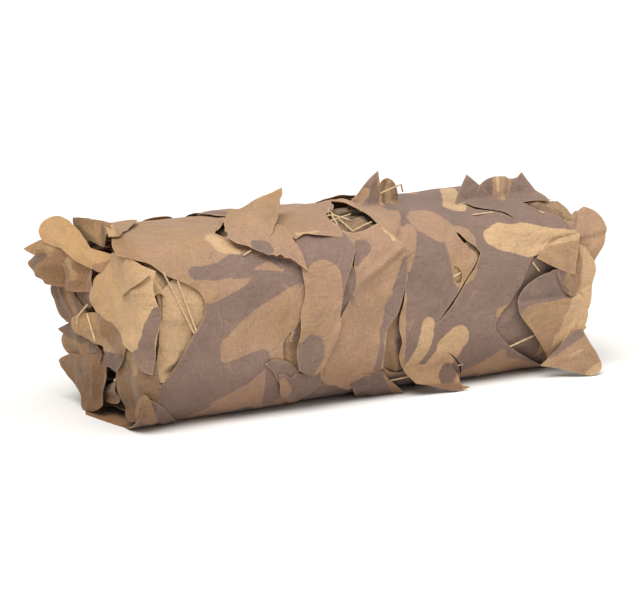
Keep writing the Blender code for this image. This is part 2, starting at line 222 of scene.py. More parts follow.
CLOTH_FACES = [
    cloth_material("printed_coated_cotton", "front"),
    cloth_material("coated_cotton_back", "back"),
    cloth_material("coated_cotton_raw_edge", "edge"),
]

# A print is painted in strokes that taper from one round end to the other, a row for each with these
# columns. A later stroke covers an earlier one, and strokes of one colour run together.
Stroke = namedtuple("Stroke", "colour a1 b1 a2 b2 r1 r2")
RUN_TOGETHER = 4.0  # how far apart two strokes of one colour still join
FAR_FROM_INK = 30.0


def stroke_distance(a, b, stroke):
    along_a, along_b = stroke.a2 - stroke.a1, stroke.b2 - stroke.b1
    length = max(along_a**2 + along_b**2, 1e-9)
    share = np.clip(((a - stroke.a1) * along_a + (b - stroke.b1) * along_b) / length, 0, 1)
    away = np.hypot(a - stroke.a1 - share * along_a, b - stroke.b1 - share * along_b)
    return away - stroke.r1 - (stroke.r2 - stroke.r1) * share


def join(one, two):
    """The smaller of two distances, rounded where they meet."""
    near = np.clip(0.5 + 0.5 * (two - one) / RUN_TOGETHER, 0, 1)
    return two * (1 - near) + one * near - RUN_TOGETHER * near * (1 - near)


def paint(a, b, ground, strokes):
    """Millimetres to the border of the brown and of the ochre, less than nothing inside them."""
    ink = {colour: np.full(a.shape, -FAR_FROM_INK if ground == colour else FAR_FROM_INK)
           for colour in ("brown", "ochre")}
    for stroke in (Stroke(*row) for row in strokes):
        away = stroke_distance(a, b, stroke)
        for colour in ink:
            if colour == stroke.colour:
                ink[colour] = join(ink[colour], away)
            else:
                ink[colour] = np.maximum(ink[colour], -away)
    return ink


# Where no other print is called for, bands of three strokes wander over the cloth. Per colour: how
# many there are, against the brown ones, the length of a stroke and its half width
Band = namedtuple("Band", "colour share stride radius")
COMMON_BANDS = (Band("brown", 1.0, 26.0, 11.0), Band("ochre", 0.55, 17.0, 6.0))
BAND_WANDER = 0.9  # the most that it turns between strokes, in radians


def common_print(seed, low, high, spacing=46.0):
    """Strokes of the common print over a box of cloth, with brown bands about so far apart."""
    draw = np.random.default_rng(seed)
    strokes = []
    area = (high[0] - low[0]) * (high[1] - low[1])
    for band in COMMON_BANDS:
        for _ in range(max(1, round(band.share * area / spacing**2))):
            a, b = draw.uniform(low, high)
            turn = draw.uniform(0, 2 * math.pi)
            wide = band.radius * draw.uniform(0.7, 1.3)
            for _ in range(3):
                turn += draw.uniform(-BAND_WANDER, BAND_WANDER)
                next_a = a + band.stride * math.cos(turn)
                next_b = b + 0.7 * band.stride * math.sin(turn)
                next_wide = band.radius * draw.uniform(0.55, 1.35)
                strokes.append(Stroke(band.colour, a, b, next_a, next_b, wide, next_wide))
                a, b, wide = next_a, next_b, next_wide
    return strokes


# ---- The roll's outer turn ----------------------------------------------------------------------
# The net and its cloth are folded flat and wound up, and the last turn is the roll's skin. It is
# made of a few lengths of the cloth, slit and cut into leaves, which lie over each other.
ROLL_LENGTH = 332.0
ROLL_DEPTH = 124.0
ROLL_HEIGHT = 118.0
CORNERS = (34.0, 40.0, 40.0, 26.0)  # front low, front high, back high, back low
FLOOR_GAP = 0.25
ARC_STEPS = 24


def section_outline():
    """Points round the roll's section from the middle of its underside to the front, up and over."""
    half_y, points = ROLL_DEPTH / 2, [(0.0, 0.0)]
    front_low, front_high, back_high, back_low = CORNERS
    centres = (
        (front_low - half_y, front_low, front_low, 270),
        (front_high - half_y, ROLL_HEIGHT - front_high, front_high, 180),
        (half_y - back_high, ROLL_HEIGHT - back_high, back_high, 90),
        (half_y - back_low, back_low, back_low, 0),
    )
    for y, z, radius, start in centres:
        for step in range(ARC_STEPS + 1):
            angle = math.radians(start - 90 * step / ARC_STEPS)
            points.append((y + radius * math.cos(angle), z + radius * math.sin(angle)))
    return np.array(points + [(0.0, 0.0)])


SECTION = section_outline()
SECTION_AT = np.concatenate([[0], np.cumsum(np.hypot(*np.diff(SECTION, axis=0).T))])
PERIMETER = SECTION_AT[-1]
FLAT_FRONT = ROLL_DEPTH / 2 - CORNERS[0]  # the underside's flat reaches so far round each way
FLAT_BACK = PERIMETER - ROLL_DEPTH / 2 + CORNERS[3]


def smoothstep(x):
    x = np.clip(x, 0.0, 1.0)
    return x * x * (3.0 - 2.0 * x)


# A crease is a ridge, or a trough where its height is less than nothing, from (u1, v1) to (u2, v2).
# On the roll's side u runs along it and v round it. A row for each of the wound cloth's main ones:
Crease = namedtuple("Crease", "u1 v1 u2 v2 reach height")
CREASE_SHARP = 1.25  # 2 is a soft swell, 1 a knife edge
ROLL_CREASES = (
    (-14, 128, 20, 146, 4, 2.2), (-10, 121, 24, 137, 5, -1.2), (-14, 136, 6, 150, 3, 0.9),
    (-160, 205, -60, 196, 14, 1.2), (-150, 178, -70, 186, 12, -0.8), (-135, 128, -72, 137, 6, 0.7),
    (-118, 100, -78, 112, 9, 0.8), (-105, 72, -82, 86, 6, 1.2), (-140, 112, -118, 88, 6, -0.6),
    (-60, 100, -34, 108, 12, 0.8), (36, 140, 66, 150, 8, 0.9), (22, 100, 44, 104, 9, 0.7),
    (84, 128, 108, 118, 8, 0.8), (104, 151, 160, 141, 4, 1.6), (124, 158, 160, 142, 3, 1.0),
    (120, 138, 158, 141, 3, -1.0), (92, 140, 104, 152, 3, 0.8), (100, 176, 160, 168, 9, -0.9),
    (30, 205, 150, 212, 12, 1.1), (-20, 95, 4, 84, 10, 0.7), (-120, 300, -30, 312, 10, 1.2),
    (10, 296, 120, 286, 12, 1.4), (-150, 262, -40, 250, 14, -1.0), (40, 262, 150, 256, 12, 1.2),
)
SLUMP = 1.6  # how far the sides sag inwards between the tight places
SAG_EASE = 30.0  # sag and creases come in over so much of the section, from the flat underside
ROLL_RIPPLES = ((3, 34.0, 0.45), (4, 13.0, 0.12))  # seed, size and height


def ripple(a, b, seed, size, height):
    """A gentle unevenness, as a few sine waves of about that size in random directions."""
    draw = np.random.default_rng(seed)
    total = np.zeros(np.shape(a))
    for _ in range(5):
        turn, phase = draw.uniform(0, 2 * math.pi, 2)
        wave = 2 * math.pi / (size * draw.uniform(0.6, 1.7))
        total += np.sin(wave * (a * math.cos(turn) + b * math.sin(turn)) + phase)
    return height * total / 2.2  # five waves seldom add up to more


def crease_relief(a, b, creases):
    total = np.zeros(np.shape(a))
    for c in (Crease(*row) for row in creases):
        away = stroke_distance(a, b, Stroke("", c.u1, c.v1, c.u2, c.v2, 0.0, 0.0))
        total += c.height * np.exp(-((away / c.reach) ** CREASE_SHARP))
    return total


def round_roll(u, v, height):
    """Points at a height over the roll's side, where the cloth follows its sag and its creases."""
    q = np.mod(v, PERIMETER)

    def at(distance, axis):
        return np.interp(np.mod(distance, PERIMETER), SECTION_AT, SECTION[:, axis])

    along_y, along_z = at(q + 0.5, 0) - at(q - 0.5, 0), at(q + 0.5, 1) - at(q - 0.5, 1)
    size = np.hypot(along_y, along_z)
    off_flat = smoothstep(np.minimum(q - FLAT_FRONT, FLAT_BACK - q) / SAG_EASE)
    # Two crossing swells make the sag come and go
    sag = SLUMP * (0.5 + 0.3 * np.sin(u / 27.0 + q / 38.0) + 0.2 * np.sin(u / 13.0 - q / 21.0 + 1.0))
    loose = crease_relief(u, q, ROLL_CREASES)
    for row in ROLL_RIPPLES:
        loose = loose + ripple(u, q, *row)
    height = height + (loose - sag) * off_flat
    y = at(q, 0) - along_z / size * height
    z = at(q, 1) + along_y / size * height
    return np.column_stack([u, y, np.maximum(z, FLOOR_GAP)])


CUT_STEP = 1.6  # distance between points along a cut
BATCH = 4000  # points worked out at a time, to save memory


def curve_through(t, start, leave, end, arrive):
    """A smooth curve between two values, by its slopes at both."""
    return ((2 * t**3 - 3 * t**2 + 1) * start + (t**3 - 2 * t**2 + t) * leave
            + (3 * t**2 - 2 * t**3) * end + (t**3 - t**2) * arrive)


def smooth_outline(points):
    """A closed curve through the points of a cut; a point marked as a corner stays sharp."""
    places = np.array([p[:2] for p in points], float)
    corner = [len(p) > 2 for p in points]
    count = len(points)

    def heading(k, straight):
        if corner[k]:
            return straight
        way = places[(k + 1) % count] - places[k - 1]
        return way / max(np.linalg.norm(way), 1e-6)

    curve = []
    for i in range(count):
        here, after = places[i], places[(i + 1) % count]
        chord = np.linalg.norm(after - here)
        straight = (after - here) / max(chord, 1e-6)
        leave, arrive = heading(i, straight) * chord, heading((i + 1) % count, straight) * chord
        steps = max(1, round(chord / CUT_STEP))
        t = (np.arange(steps) / steps)[:, None]
        curve.append(curve_through(t, here, leave, after, arrive))
    return np.concatenate(curve)


def loop_sides(loops):
    starts = np.concatenate(loops)
    ends = np.concatenate([np.roll(loop, -1, axis=0) for loop in loops])
    return starts, ends


def within(points, loops):
    """Whether each point lies inside the outline and outside its holes."""
    starts, ends = loop_sides(loops)
    inside = np.zeros(len(points), bool)
    for first in range(0, len(points), BATCH):
        a, b = (points[first:first + BATCH, i][:, None] for i in (0, 1))
        crosses = (starts[:, 1] > b) != (ends[:, 1] > b)
        rise = np.where(ends[:, 1] == starts[:, 1], 1e-9, ends[:, 1] - starts[:, 1])
        at = starts[:, 0] + (ends[:, 0] - starts[:, 0]) * (b - starts[:, 1]) / rise
        inside[first:first + BATCH] = (crosses & (a < at)).sum(1) % 2 == 1
    return inside


def border_distance(points, loops):
    starts, ends = loop_sides(loops)
    way = ends - starts
    length = np.maximum((way**2).sum(1), 1e-9)
    away = np.zeros(len(points))
    for first in range(0, len(points), BATCH):
        some = points[first:first + BATCH, None] - starts
        share = np.clip((some * way).sum(2) / length, 0, 1)
        away[first:first + BATCH] = np.sqrt(((some - share[..., None] * way) ** 2).sum(2).min(1))
    return away


def fill(curve, pitch, holes=()):
    """Flat cloth inside a cut: its points, its triangles and how far each point is from the cut."""
    loops = [curve, *holes]
    border = np.concatenate(loops)
    low, high = curve.min(0), curve.max(0)
    rows = np.arange(low[1], high[1], pitch * 0.866)  # rows of even triangles
    columns = np.arange(low[0], high[0] + pitch, pitch)
    grid = np.array([(a + i % 2 * pitch / 2, b) for i, b in enumerate(rows) for a in columns])
    grid = grid[within(grid, loops)]
    grid = grid[border_distance(grid, loops) > 0.55 * pitch]
    sides, first = [], 0
    for loop in loops:
        sides += [(first + i, first + (i + 1) % len(loop)) for i in range(len(loop))]
        first += len(loop)
    made = delaunay_2d_cdt([Vector(p) for p in np.concatenate([border, grid])], sides, [], 1, 1e-5)
    flat, faces = np.array([v[:] for v in made[0]]), np.array([f for f in made[2] if len(f) == 3])
    faces = faces[within(flat[faces].mean(1), loops)]
    return flat, faces, border_distance(flat, loops)


# A fold turns what lies past the line through (a, b), in the heading's direction, up by an angle,
# over a bend of that reach
Fold = namedtuple("Fold", "a b heading angle reach")


def fold(flat, points, bend):
    turn, full = math.radians(bend.heading), math.radians(bend.angle)
    way = np.array((math.cos(turn), math.sin(turn)))
    past = (flat - (bend.a, bend.b)) @ way
    bent = np.clip(past, 0, bend.reach)
    angle = bent / bend.reach * full
    radius = bend.reach / full
    now = (points[:, :2] - (bend.a, bend.b)) @ way
    rest = now - bent
    along = radius * np.sin(angle) + rest * np.cos(angle) - points[:, 2] * np.sin(angle)
    moved = points.copy()
    moved[:, :2] += (along - now)[:, None] * way
    moved[:, 2] = radius * (1 - np.cos(angle)) + rest * np.sin(angle) + points[:, 2] * np.cos(angle)
    return np.where((past > 0)[:, None], moved, points)


def flat_size(flat, faces):
    """The width, length and area, in metres, of the cloth that a piece is cut from."""
    best = None
    for turn in np.radians(np.arange(0, 180, 5)):
        across = flat @ np.array([[math.cos(turn), -math.sin(turn)], [math.sin(turn), math.cos(turn)]])
        size = np.ptp(across, axis=0)
        if best is None or size.prod() < best.prod():
            best = size
    a, b, c = (flat[faces[:, i]] for i in range(3))
    area = 0.5 * np.abs((b - a)[:, 0] * (c - a)[:, 1] - (b - a)[:, 1] * (c - a)[:, 0]).sum()
    return (float(best.min() * MM), float(best.max() * MM)), float(area * MM * MM)


# How a piece of cloth looks: its own lightness, painted light and shade for where it lies, how much of
# the painted shade near the floor it takes, and the slot of its look
Look = namedtuple("Look", "slot shade soil", defaults=(1.0, 1.0))


def cloth_piece(name, flat, faces, from_cut, points, ink, look, stands_for=()):
    """Finishes a sheet of cloth: its thickness, print and materials."""
    mesh = bpy.data.meshes.new(name)
    mesh.from_pydata((points * MM).tolist(), [], faces.tolist())
    even = np.ones(len(flat))
    for field, values in (("edge", from_cut), ("brown", ink["brown"]), ("ochre", ink["ochre"]),
                          ("shade", even * look.shade), ("soil", even * look.soil)):
        mesh.attributes.new(field, "FLOAT", "POINT").data.foreach_set("value", values.astype(np.float32))
    corners = np.zeros(len(mesh.loops), np.int32)
    mesh.loops.foreach_get("vertex_index", corners)
    mesh.uv_layers.new(name="cloth").data.foreach_set("uv", (flat[corners] * UV_PER_MM).ravel())
    for face in CLOTH_FACES:
        mesh.materials.append(face)
    piece = bpy.data.objects.new(name, mesh)
    bpy.context.collection.objects.link(piece)
    wall = piece.modifiers.new("cloth", "SOLIDIFY")
    wall.thickness, wall.offset = CLOTH * MM, 0.0
    wall.material_offset, wall.material_offset_rim = 1, 2
    bpy.context.view_layer.objects.active = piece
    piece.select_set(True)
    bpy.ops.object.modifier_apply(modifier=wall.name)
    bpy.ops.object.shade_smooth_by_angle(angle=math.radians(60))
    piece.select_set(False)
    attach(piece, "root")
    if stands_for:
        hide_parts(*stands_for)
    size, area = flat_size(flat, faces)


CUT_LIFT_REACH = 9.0  # cloth stands off over so much of it, in from a cut


def lifted(flat, from_cut, seed, rise):
    """How far the cloth stands off near its cuts, more in some places than in others."""
    a, b = flat.T
    uneven = 0.55 + ripple(a, b, seed, 26.0, 0.45)
    return (rise * uneven * (1 - smoothstep(from_cut / CUT_LIFT_REACH))
            + ripple(a, b, seed + 50, 17.0, 0.16))


# A length of cloth on the roll's side: its height over the roll, the colour of its ground, its cut all
# round, its holes, strokes of print, creases and folds, and how far its cuts lift. A leaf with
# own_solid takes the place of the solid of its own name.
def side_sheet(name, seed, height, ground, cut, holes=(), strokes=(), lifts=(), folds=(), rise=0.9,
               pitch=1.7, slot=None, shade=1.0, stands_for=(), own_solid=False):
    curve = smooth_outline(cut)
    flat, faces, from_cut = fill(curve, pitch, [smooth_outline(hole) for hole in holes])
    off = height + lifted(flat, from_cut, seed, rise) + crease_relief(*flat.T, lifts)
    points = np.column_stack([flat, off])
    for bend in reversed(folds):
        points = fold(flat, points, bend)
    cloth_piece(name, flat, faces, from_cut, round_roll(*points.T), paint(*flat.T, ground, strokes),
                Look(slot or "leaf_" + ground, shade), (name,) if own_solid else stands_for)


LEFT_PRINT = (
    ("ochre", -109, 172, -105, 163, 4, 5), ("ochre", -105, 163, -97, 157.5, 5, 2.5),
    ("brown", -131, 145.5, -118, 145, 4.5, 4.5), ("brown", -118, 145, -100, 148, 4.5, 8),
    ("brown", -100, 148, -78, 145, 8, 6), ("brown", -78, 146, -56, 138, 7, 6),
    ("brown", -62, 136, -82, 134, 5, 9), ("brown", -82, 133, -104, 122, 9, 8),
    ("brown", -104, 122, -124, 112, 9, 14), ("brown", -160, 55, -138, 90, 30, 22),
    ("brown", -138, 90, -130, 112, 18, 14), ("brown", -138, 58, -118, 72, 14, 13),
    ("brown", -118, 73, -87.5, 87, 13, 6.3), ("tan", -90, 144, -78, 145, 0.5, 3.2),
    ("tan", -78, 145, -69, 141, 3.2, 0.5), ("tan", -116, 58, -100, 66, 3, 5),
    ("tan", -98, 62, -89, 70, 6, 6), ("brown", -80, 77, -75, 56, 4.5, 7),
)
side_sheet(
    "wrap_left", 11, 0.0, "tan",
    cut=(
        (-152, -70, "corner"), (-152, -58), (-154, -48), (-158, -38), (-166, -26), (-174, -10, "corner"),
        (-172, 8), (-169.5, 26), (-166, 44), (-163.5, 60), (-163, 73), (-162, 78.5, "corner"), (-157, 79.5),
        (-150, 87), (-142, 98.5), (-133, 111, "corner"), (-128, 119), (-127.5, 126), (-131, 134),
        (-140, 140.5), (-151, 147), (-160, 156), (-170, 160), (-178, 164, "corner"), (-177, 173),
        (-171.5, 184), (-164, 198), (-161, 215), (-162, 230), (-163, 250), (-164, 272), (-158, 292),
        (-151, 312), (-151, 330), (-150, 353, "corner"), (-138, 361), (-126, 358), (-113, 350, "corner"),
        (-99, 360), (-84, 366), (-70, 361), (-57, 352, "corner"), (-42, 357, "corner"), (-48, 300),
        (-40, 262), (-50, 230), (-56, 200), (-52, 170), (-46, 140), (-50, 118), (-57, 110.5), (-64.5, 103),
        (-70.5, 96.5), (-71.8, 88), (-69, 80), (-62, 76, "corner"), (-56, 66), (-50, 40), (-56, 0),
        (-46, -40), (-52, -70, "corner"),
    ),
    holes=(
        ((-104, 176, "corner"), (-100, 182), (-93, 189), (-84, 200), (-79, 208, "corner"), (-80, 198),
         (-88, 184), (-95, 175), (-100, 171)),
        ((-136, 312, "corner"), (-124, 306), (-108, 298), (-96, 288, "corner"), (-104, 301), (-118, 311)),
        ((-136, 258, "corner"), (-130, 266), (-126, 276), (-125, 288, "corner"), (-130, 281), (-134, 270)),
        ((-82, 322, "corner"), (-72, 330), (-68, 341, "corner"), (-76, 335)),
    ),
    strokes=(
        *common_print(21, (-165, -70), (-50, 45)), *common_print(22, (-165, 250), (-50, 340)),
        ("tan", -166, 176, -60, 176, 10, 10), ("tan", -166, 210, -60, 210, 30, 30), *LEFT_PRINT,
    ),
    lifts=((-150, 366, -40, 366, 16, 3.2), (-140, 318, -96, 296, 7, 1.6), (-140, 260, -130, 286, 6, 1.2)),
    slot="roll_cloth", stands_for=("roll",),
)
RIGHT_PRINT = (
    ("brown", 105, 95, 105, 172, 75, 75), ("brown", 60, 60, 60, 130, 40, 40), ("tan", 72, 48, 90, 60, 5, 6),
    ("tan", 88, 58, 98, 66, 5, 5), ("tan", 100, 52, 134, 38, 12, 12), ("tan", 60, 10, 150, 10, 30, 30),
    ("tan", 95, 96, 104, 100, 3.5, 2),
    # the leaf that the slits cut out, below the top
    ("tan", 48, 166, 54, 158, 13, 11), ("tan", 30, 158, 22, 132, 6, 2), ("tan", 14, 168, 16, 190, 9, 9),
    ("tan", 16, 192, 0, 202, 9, 7), ("tan", 22, 160, 34, 182, 4, 3), ("tan", 66, 146, 66, 124, 12, 9),
    ("brown", 74, 108, 74, 96, 12, 12), ("ochre", 37.5, 94.5, 36.5, 84, 5, 5),
    ("ochre", 36.5, 84, 31, 73, 5, 4.8), ("ochre", 31, 73, 22, 62, 4.8, 4.5),
    ("ochre", 61, 83.5, 54, 76, 8.3, 9), ("ochre", 54, 76, 45, 62, 9, 12),
    ("ochre", 45, 62, 48, 44, 12, 10), ("brown", 45.5, 90, 42, 78, 2, 2.6),
    ("brown", 42, 78, 36, 69, 2.6, 2.4), ("brown", 36, 69, 27, 60, 2.4, 2.2),
    ("brown", 60, 55, 62, 36, 4, 9),
    # the large spot on the shoulder
    ("ochre", 92, 147, 100, 147.5, 6.5, 8.5), ("ochre", 100, 146.5, 120, 143, 9.5, 11),
    ("ochre", 120, 143, 146, 141, 11, 5.5), ("ochre", 146, 141, 164, 141, 5, 3.5),
    # the top and the back
    ("ochre", 80, 180, 95, 205, 8, 6), ("ochre", 95, 205, 110, 232, 6, 5),
    ("tan", 170, 264, 150, 228, 11, 7), ("tan", 62, 262, 82, 234, 10, 5), ("tan", 112, 262, 122, 244, 9, 4),
)
side_sheet(
    "wrap_right", 12, 0.4, "tan",
    cut=(
        (40, -70, "corner"), (34, -40), (42, 0), (46, 28), (42, 43), (38, 50), (33, 57, "corner"), (27, 61),
        (19, 68), (15.5, 76), (17, 85), (15, 93), (15, 100), (18, 112), (20, 124), (19.5, 136), (18, 149),
        (14.5, 157), (11, 164), (8, 172), (7, 181), (3, 194), (-4, 203, "corner"), (14, 209), (30, 216),
        (40, 228), (30, 276), (40, 310), (34, 352, "corner"), (48, 361), (62, 365), (78, 354, "corner"),
        (95, 363), (112, 367), (126, 356, "corner"), (146, 363), (160, 356, "corner"), (160, 310),
        (165, 276), (160, 245), (160, 220), (155, 200), (152, 185), (152, 172, "corner"), (142, 174.5),
        (132, 175.5, "corner"), (139, 166), (147, 158), (154.5, 151, "corner"), (158, 146),
        (160.5, 141, "corner"), (154, 136.5), (140, 135), (131, 132.5), (122, 131, "corner"), (117, 124),
        (110, 112), (103, 103), (97, 97), (92.5, 91), (92, 85), (96, 79.5), (104, 72, "corner"), (120, 61),
        (136, 51), (150, 42, "corner"), (168, 36), (164, 0), (169, -40), (165, -70, "corner"),
    ),
    holes=(
        ((65, 152.5), (71, 146.5), (76.5, 142), (79, 137.5, "corner"), (73, 127), (65.5, 117.5),
         (55, 105.5), (43, 92.5, "corner"), (53, 105.5), (64.3, 118.2), (71.5, 127), (75.7, 136.5),
         (70.5, 142.5)),
        ((56.5, 126, "corner"), (59, 131), (64, 126), (63.6, 120, "corner"), (60, 119.5)),
        ((53, 75, "corner"), (60, 68.4), (66, 61), (73, 50, "corner"), (68, 61.2), (61.2, 69.2)),
        ((88, 183), (91, 174), (97, 171), (106, 167), (112, 162), (117, 156, "corner"), (112, 164.5),
         (106, 169), (98, 173), (93, 176)),
        ((70, 262, "corner"), (80, 270), (88, 282), (91, 297, "corner"), (81, 288), (74, 276)),
        ((104, 316, "corner"), (116, 322), (130, 324), (146, 320, "corner"), (132, 330), (114, 329)),
        ((124, 250, "corner"), (136, 248), (147, 252, "corner"), (136, 256)),
    ),
    strokes=(
        *RIGHT_PRINT, *common_print(23, (45, -70), (165, 5)),
        *common_print(24, (45, 278), (165, 350), 40.0),
    ),
    lifts=(
        (34, 368, 164, 368, 16, 3.2), (66, 258, 84, 296, 6, 1.6), (100, 334, 146, 334, 6, 1.4),
        (60, 92, 90, 128, 14, 1.6), (62, 136, 56, 112, 7, -1.2), (-3, 203, 4, 200, 9, 6.5),
        (9, 172, 8, 196, 5, 1.8), (20, 153, 40, 178, 1.5, -2.6), (23, 151, 43, 177, 2.2, 1.8),
        (90, 142, 101, 156, 2.5, 1.3), (48, 110, 54, 120, 2, 0.7),
    ),
    slot="roll_cloth", stands_for=("leaf_front_wide", "leaf_top_sheet"),
)
side_sheet(
    "wrap_top", 13, 1.0, "tan",
    cut=(
        (-54.5, 160, "corner"), (-50, 161.8), (-46, 163), (-41, 161), (-36, 159.5), (-29, 159),
        (-22, 158, "corner"), (-19, 166), (-22, 173), (-20, 181), (-6, 196), (8, 216), (20, 238), (33, 249),
        (38, 261), (33, 270), (24, 274, "corner"), (30, 289), (42, 300), (43, 314), (32, 323),
        (20, 324, "corner"), (22, 340), (14, 354), (4, 360), (-6, 354, "corner"), (-20, 364), (-38, 368),
        (-52, 360), (-58, 350, "corner"), (-60, 330), (-72, 318), (-80, 304), (-78, 292),
        (-66, 285, "corner"), (-68, 270), (-80, 258), (-84, 246), (-74, 238), (-62, 236, "corner"),
        (-58, 226), (-70, 200), (-66, 172, "corner"), (-60, 166),
    ),
    holes=(
        ((-63, 176, "corner"), (-59.5, 183), (-55, 189, "corner"), (-57, 182), (-60, 176.5)),
        ((-18, 262, "corner"), (-8, 270), (-2, 282), (-1, 298, "corner"), (-9, 288), (-15, 276)),
        ((-48, 312, "corner"), (-34, 318), (-20, 318), (-8, 311, "corner"), (-18, 324), (-36, 325)),
    ),
    strokes=(
        *common_print(25, (-60, 235), (25, 335)), ("tan", -40, 180, -20, 225, 30, 30),
        ("ochre", -52, 163.5, -38, 163, 1.5, 1.2), ("ochre", -20, 170, -16, 182, 2, 2),
    ),
    lifts=(
        (-54, 162, -38, 162, 6, 2.6), (-36, 161, -22, 160, 7, 1.3), (-50, 176, -20, 178, 6, 1.4),
        (-44, 186, -30, 214, 5, 1.0), (-60, 368, 24, 366, 16, 2.6), (-22, 260, -6, 296, 6, 1.6),
        (-4, 204, 18, 234, 5, -1.8), (-50, 330, -6, 328, 6, 1.5),
    ),
    slot="roll_cloth",
)
side_sheet(
    "wrap_under", 14, -0.9, "brown",
    cut=(
        (-64, -66, "corner"), (-60, -30), (-66, 10), (-60, 50), (-62, 78, "corner"), (-30, 74),
        (4, 70, "corner"), (16, 62), (40, 64), (60, 74), (76, 68), (80, 44, "corner"), (70, 0), (44, -40),
        (50, -66, "corner"),
    ),
    strokes=(*common_print(26, (-60, -60), (50, 40)), ("tan", -20, 60, 10, 62, 7, 7)),
    slot="roll_cloth",
)
# The turn below shows through the slits and openings; its low shade value is painted shade, for the
# dark in them
side_sheet(
    "turn_below", 15, -6.5, "brown",
    cut=(
        (-146, -60, "corner"), (-156, -40), (-160, 0), (-158, 100), (-156, 200), (-154, 270), (-146, 300),
        (-143, 340, "corner"), (0, 342), (158, 340, "corner"), (157, 200), (158, 100), (158, -60, "corner"),
        (0, -62),
    ),
    strokes=common_print(27, (-158, -60), (158, 340)),
    lifts=((-140, 300, 140, 300, 40, 3.0),),
    rise=0.0, pitch=4.5, shade=0.72, slot="roll_cloth",
)


# ---- Leaves over the front -----------------------------------------------------------------------
# Leaves are tongues of the same cloth, cut free all round but at their root. On the front they hang
# down from the shoulder and overlap, pressed nearly flat.
side_sheet(
    "leaf_front_tongue", 31, 2.9, "brown",
    cut=(
        (-53, 168, "corner"), (-55, 150), (-56, 138), (-56, 122), (-60, 110), (-61.5, 101), (-64, 89),
        (-62, 77, "corner"), (-52, 73), (-45, 75), (-41, 82), (-34, 93), (-31.5, 104), (-31.5, 112),
        (-30, 121), (-26.5, 131), (-20.5, 141), (-17, 149), (-17.5, 156), (-20, 168, "corner"),
    ),
    strokes=(
        ("tan", -42.5, 132, -44, 104, 12.5, 13.5), ("tan", -44, 104, -50, 80, 14, 13),
        ("tan", -58, 150, -60, 100, 5, 6), ("brown", -52.5, 90, -53, 86, 8.8, 8.8),
        ("brown", -53, 86, -56, 74, 8.8, 6),
    ),
    lifts=(
        (-59, 104, -61, 90, 6, 1.0), (-57, 156, -57, 114, 6, -2.0), (-56, 168, -12, 168, 8, -2.2),
        (-47, 150, -40, 96, 4, 0.7), (-54, 132, -53, 112, 2, 0.9), (-38, 138, -34, 104, 3, -0.6),
        (-31, 114, -18, 149, 2.5, 1.3), (-32, 102, -43, 79, 2.5, 1.5),
    ),
    slot="leaf_tan", own_solid=True,
)
side_sheet(
    "leaf_front_long", 32, 1.4, "tan",
    cut=(
        (-19, 138), (-16, 148), (-21, 158), (-23, 166, "corner"), (-14, 161), (-5, 161.5), (4, 164),
        (12, 166, "corner"), (14, 158), (19, 151), (21, 140), (20, 124), (13, 106), (5, 95), (2.5, 82),
        (2, 67, "corner"), (-8, 62), (-17, 54, "corner"), (-24, 57.5), (-29, 60.5), (-36, 62.5),
        (-41.5, 67), (-44.5, 73), (-42, 80), (-38, 86), (-33.5, 95), (-32.5, 103), (-28.5, 109.5),
        (-21, 121), (-18.5, 131),
    ),
    strokes=(
        ("brown", -10, 150, -7, 150.5, 5, 4.6), ("brown", -10, 148, -17, 139, 4.5, 1.5),
        ("brown", 20, 138, 15, 122, 2.6, 3.6), ("brown", 15, 122, 10, 108, 3.6, 6),
        ("brown", 10, 108, 5, 94, 6, 4.5), ("brown", 5, 94, 0, 70, 4.5, 3.5),
        ("ochre", 11, 162, 16, 152, 0.8, 1.4),
    ),
    lifts=(
        (-27, 60, -14, 67, 2.5, 1.3), (-32, 64, -14, 69, 2.5, -0.3), (-29, 102, -40, 80, 3, -1.3),
        (-12, 130, 20, 147, 1.7, 2.0), (-12, 127.5, 20, 144, 1.7, -2.0), (-30, 88, -4, 96, 4, 0.6),
    ),
    own_solid=True,
)
side_sheet(
    "leaf_shoulder", 33, 4.2, "tan",
    cut=(
        (-68, 176), (-82, 175), (-96, 171), (-101.5, 166), (-98.5, 160.5), (-92, 158), (-88, 155),
        (-79, 150.5, "corner"), (-75.5, 150.5), (-74, 149, "corner"), (-71, 149.8), (-69, 147.4, "corner"),
        (-65, 146.6), (-60, 143.5), (-53, 138.5, "corner"), (-55.5, 150), (-57, 160), (-60, 170),
    ),
    strokes=(("brown", -85, 157, -79, 155.5, 4, 5.2),),
    lifts=((-86, 160, -76, 176, 3, 0.8), (-72, 150, -60, 148, 3, 0.8)),
    rise=1.3, own_solid=True,
)
side_sheet(
    "leaf_low_fold", 34, 0.9, "brown",
    cut=(
        (-75.5, 76.5, "corner"), (-74, 69), (-71, 61), (-64, 54.5), (-56, 50), (-47, 56), (-42, 66),
        (-41, 78, "corner"), (-50, 75), (-58, 74), (-62, 74.5), (-66, 72.5), (-70, 75),
    ),
    strokes=(("tan", -72, 70, -68, 62, 3, 5),),
    lifts=((-73, 68, -60, 52, 3, 1.2), (-66, 72, -50, 64, 4, 0.8)),
    own_solid=True,
)
side_sheet(
    "leaf_slit", 35, 0.9, "brown",
    cut=(
        (-23, 143, "corner"), (-18.5, 137), (-17, 129), (-19.5, 119), (-24, 111.5), (-29, 106, "corner"),
        (-32, 108), (-34, 118), (-33, 130), (-28, 139),
    ),
    lifts=((-26, 134, -21, 116, 1.3, 2.4), (-22.5, 136, -26, 112, 1.2, -0.5)),
    rise=0.3, shade=1.1,
)
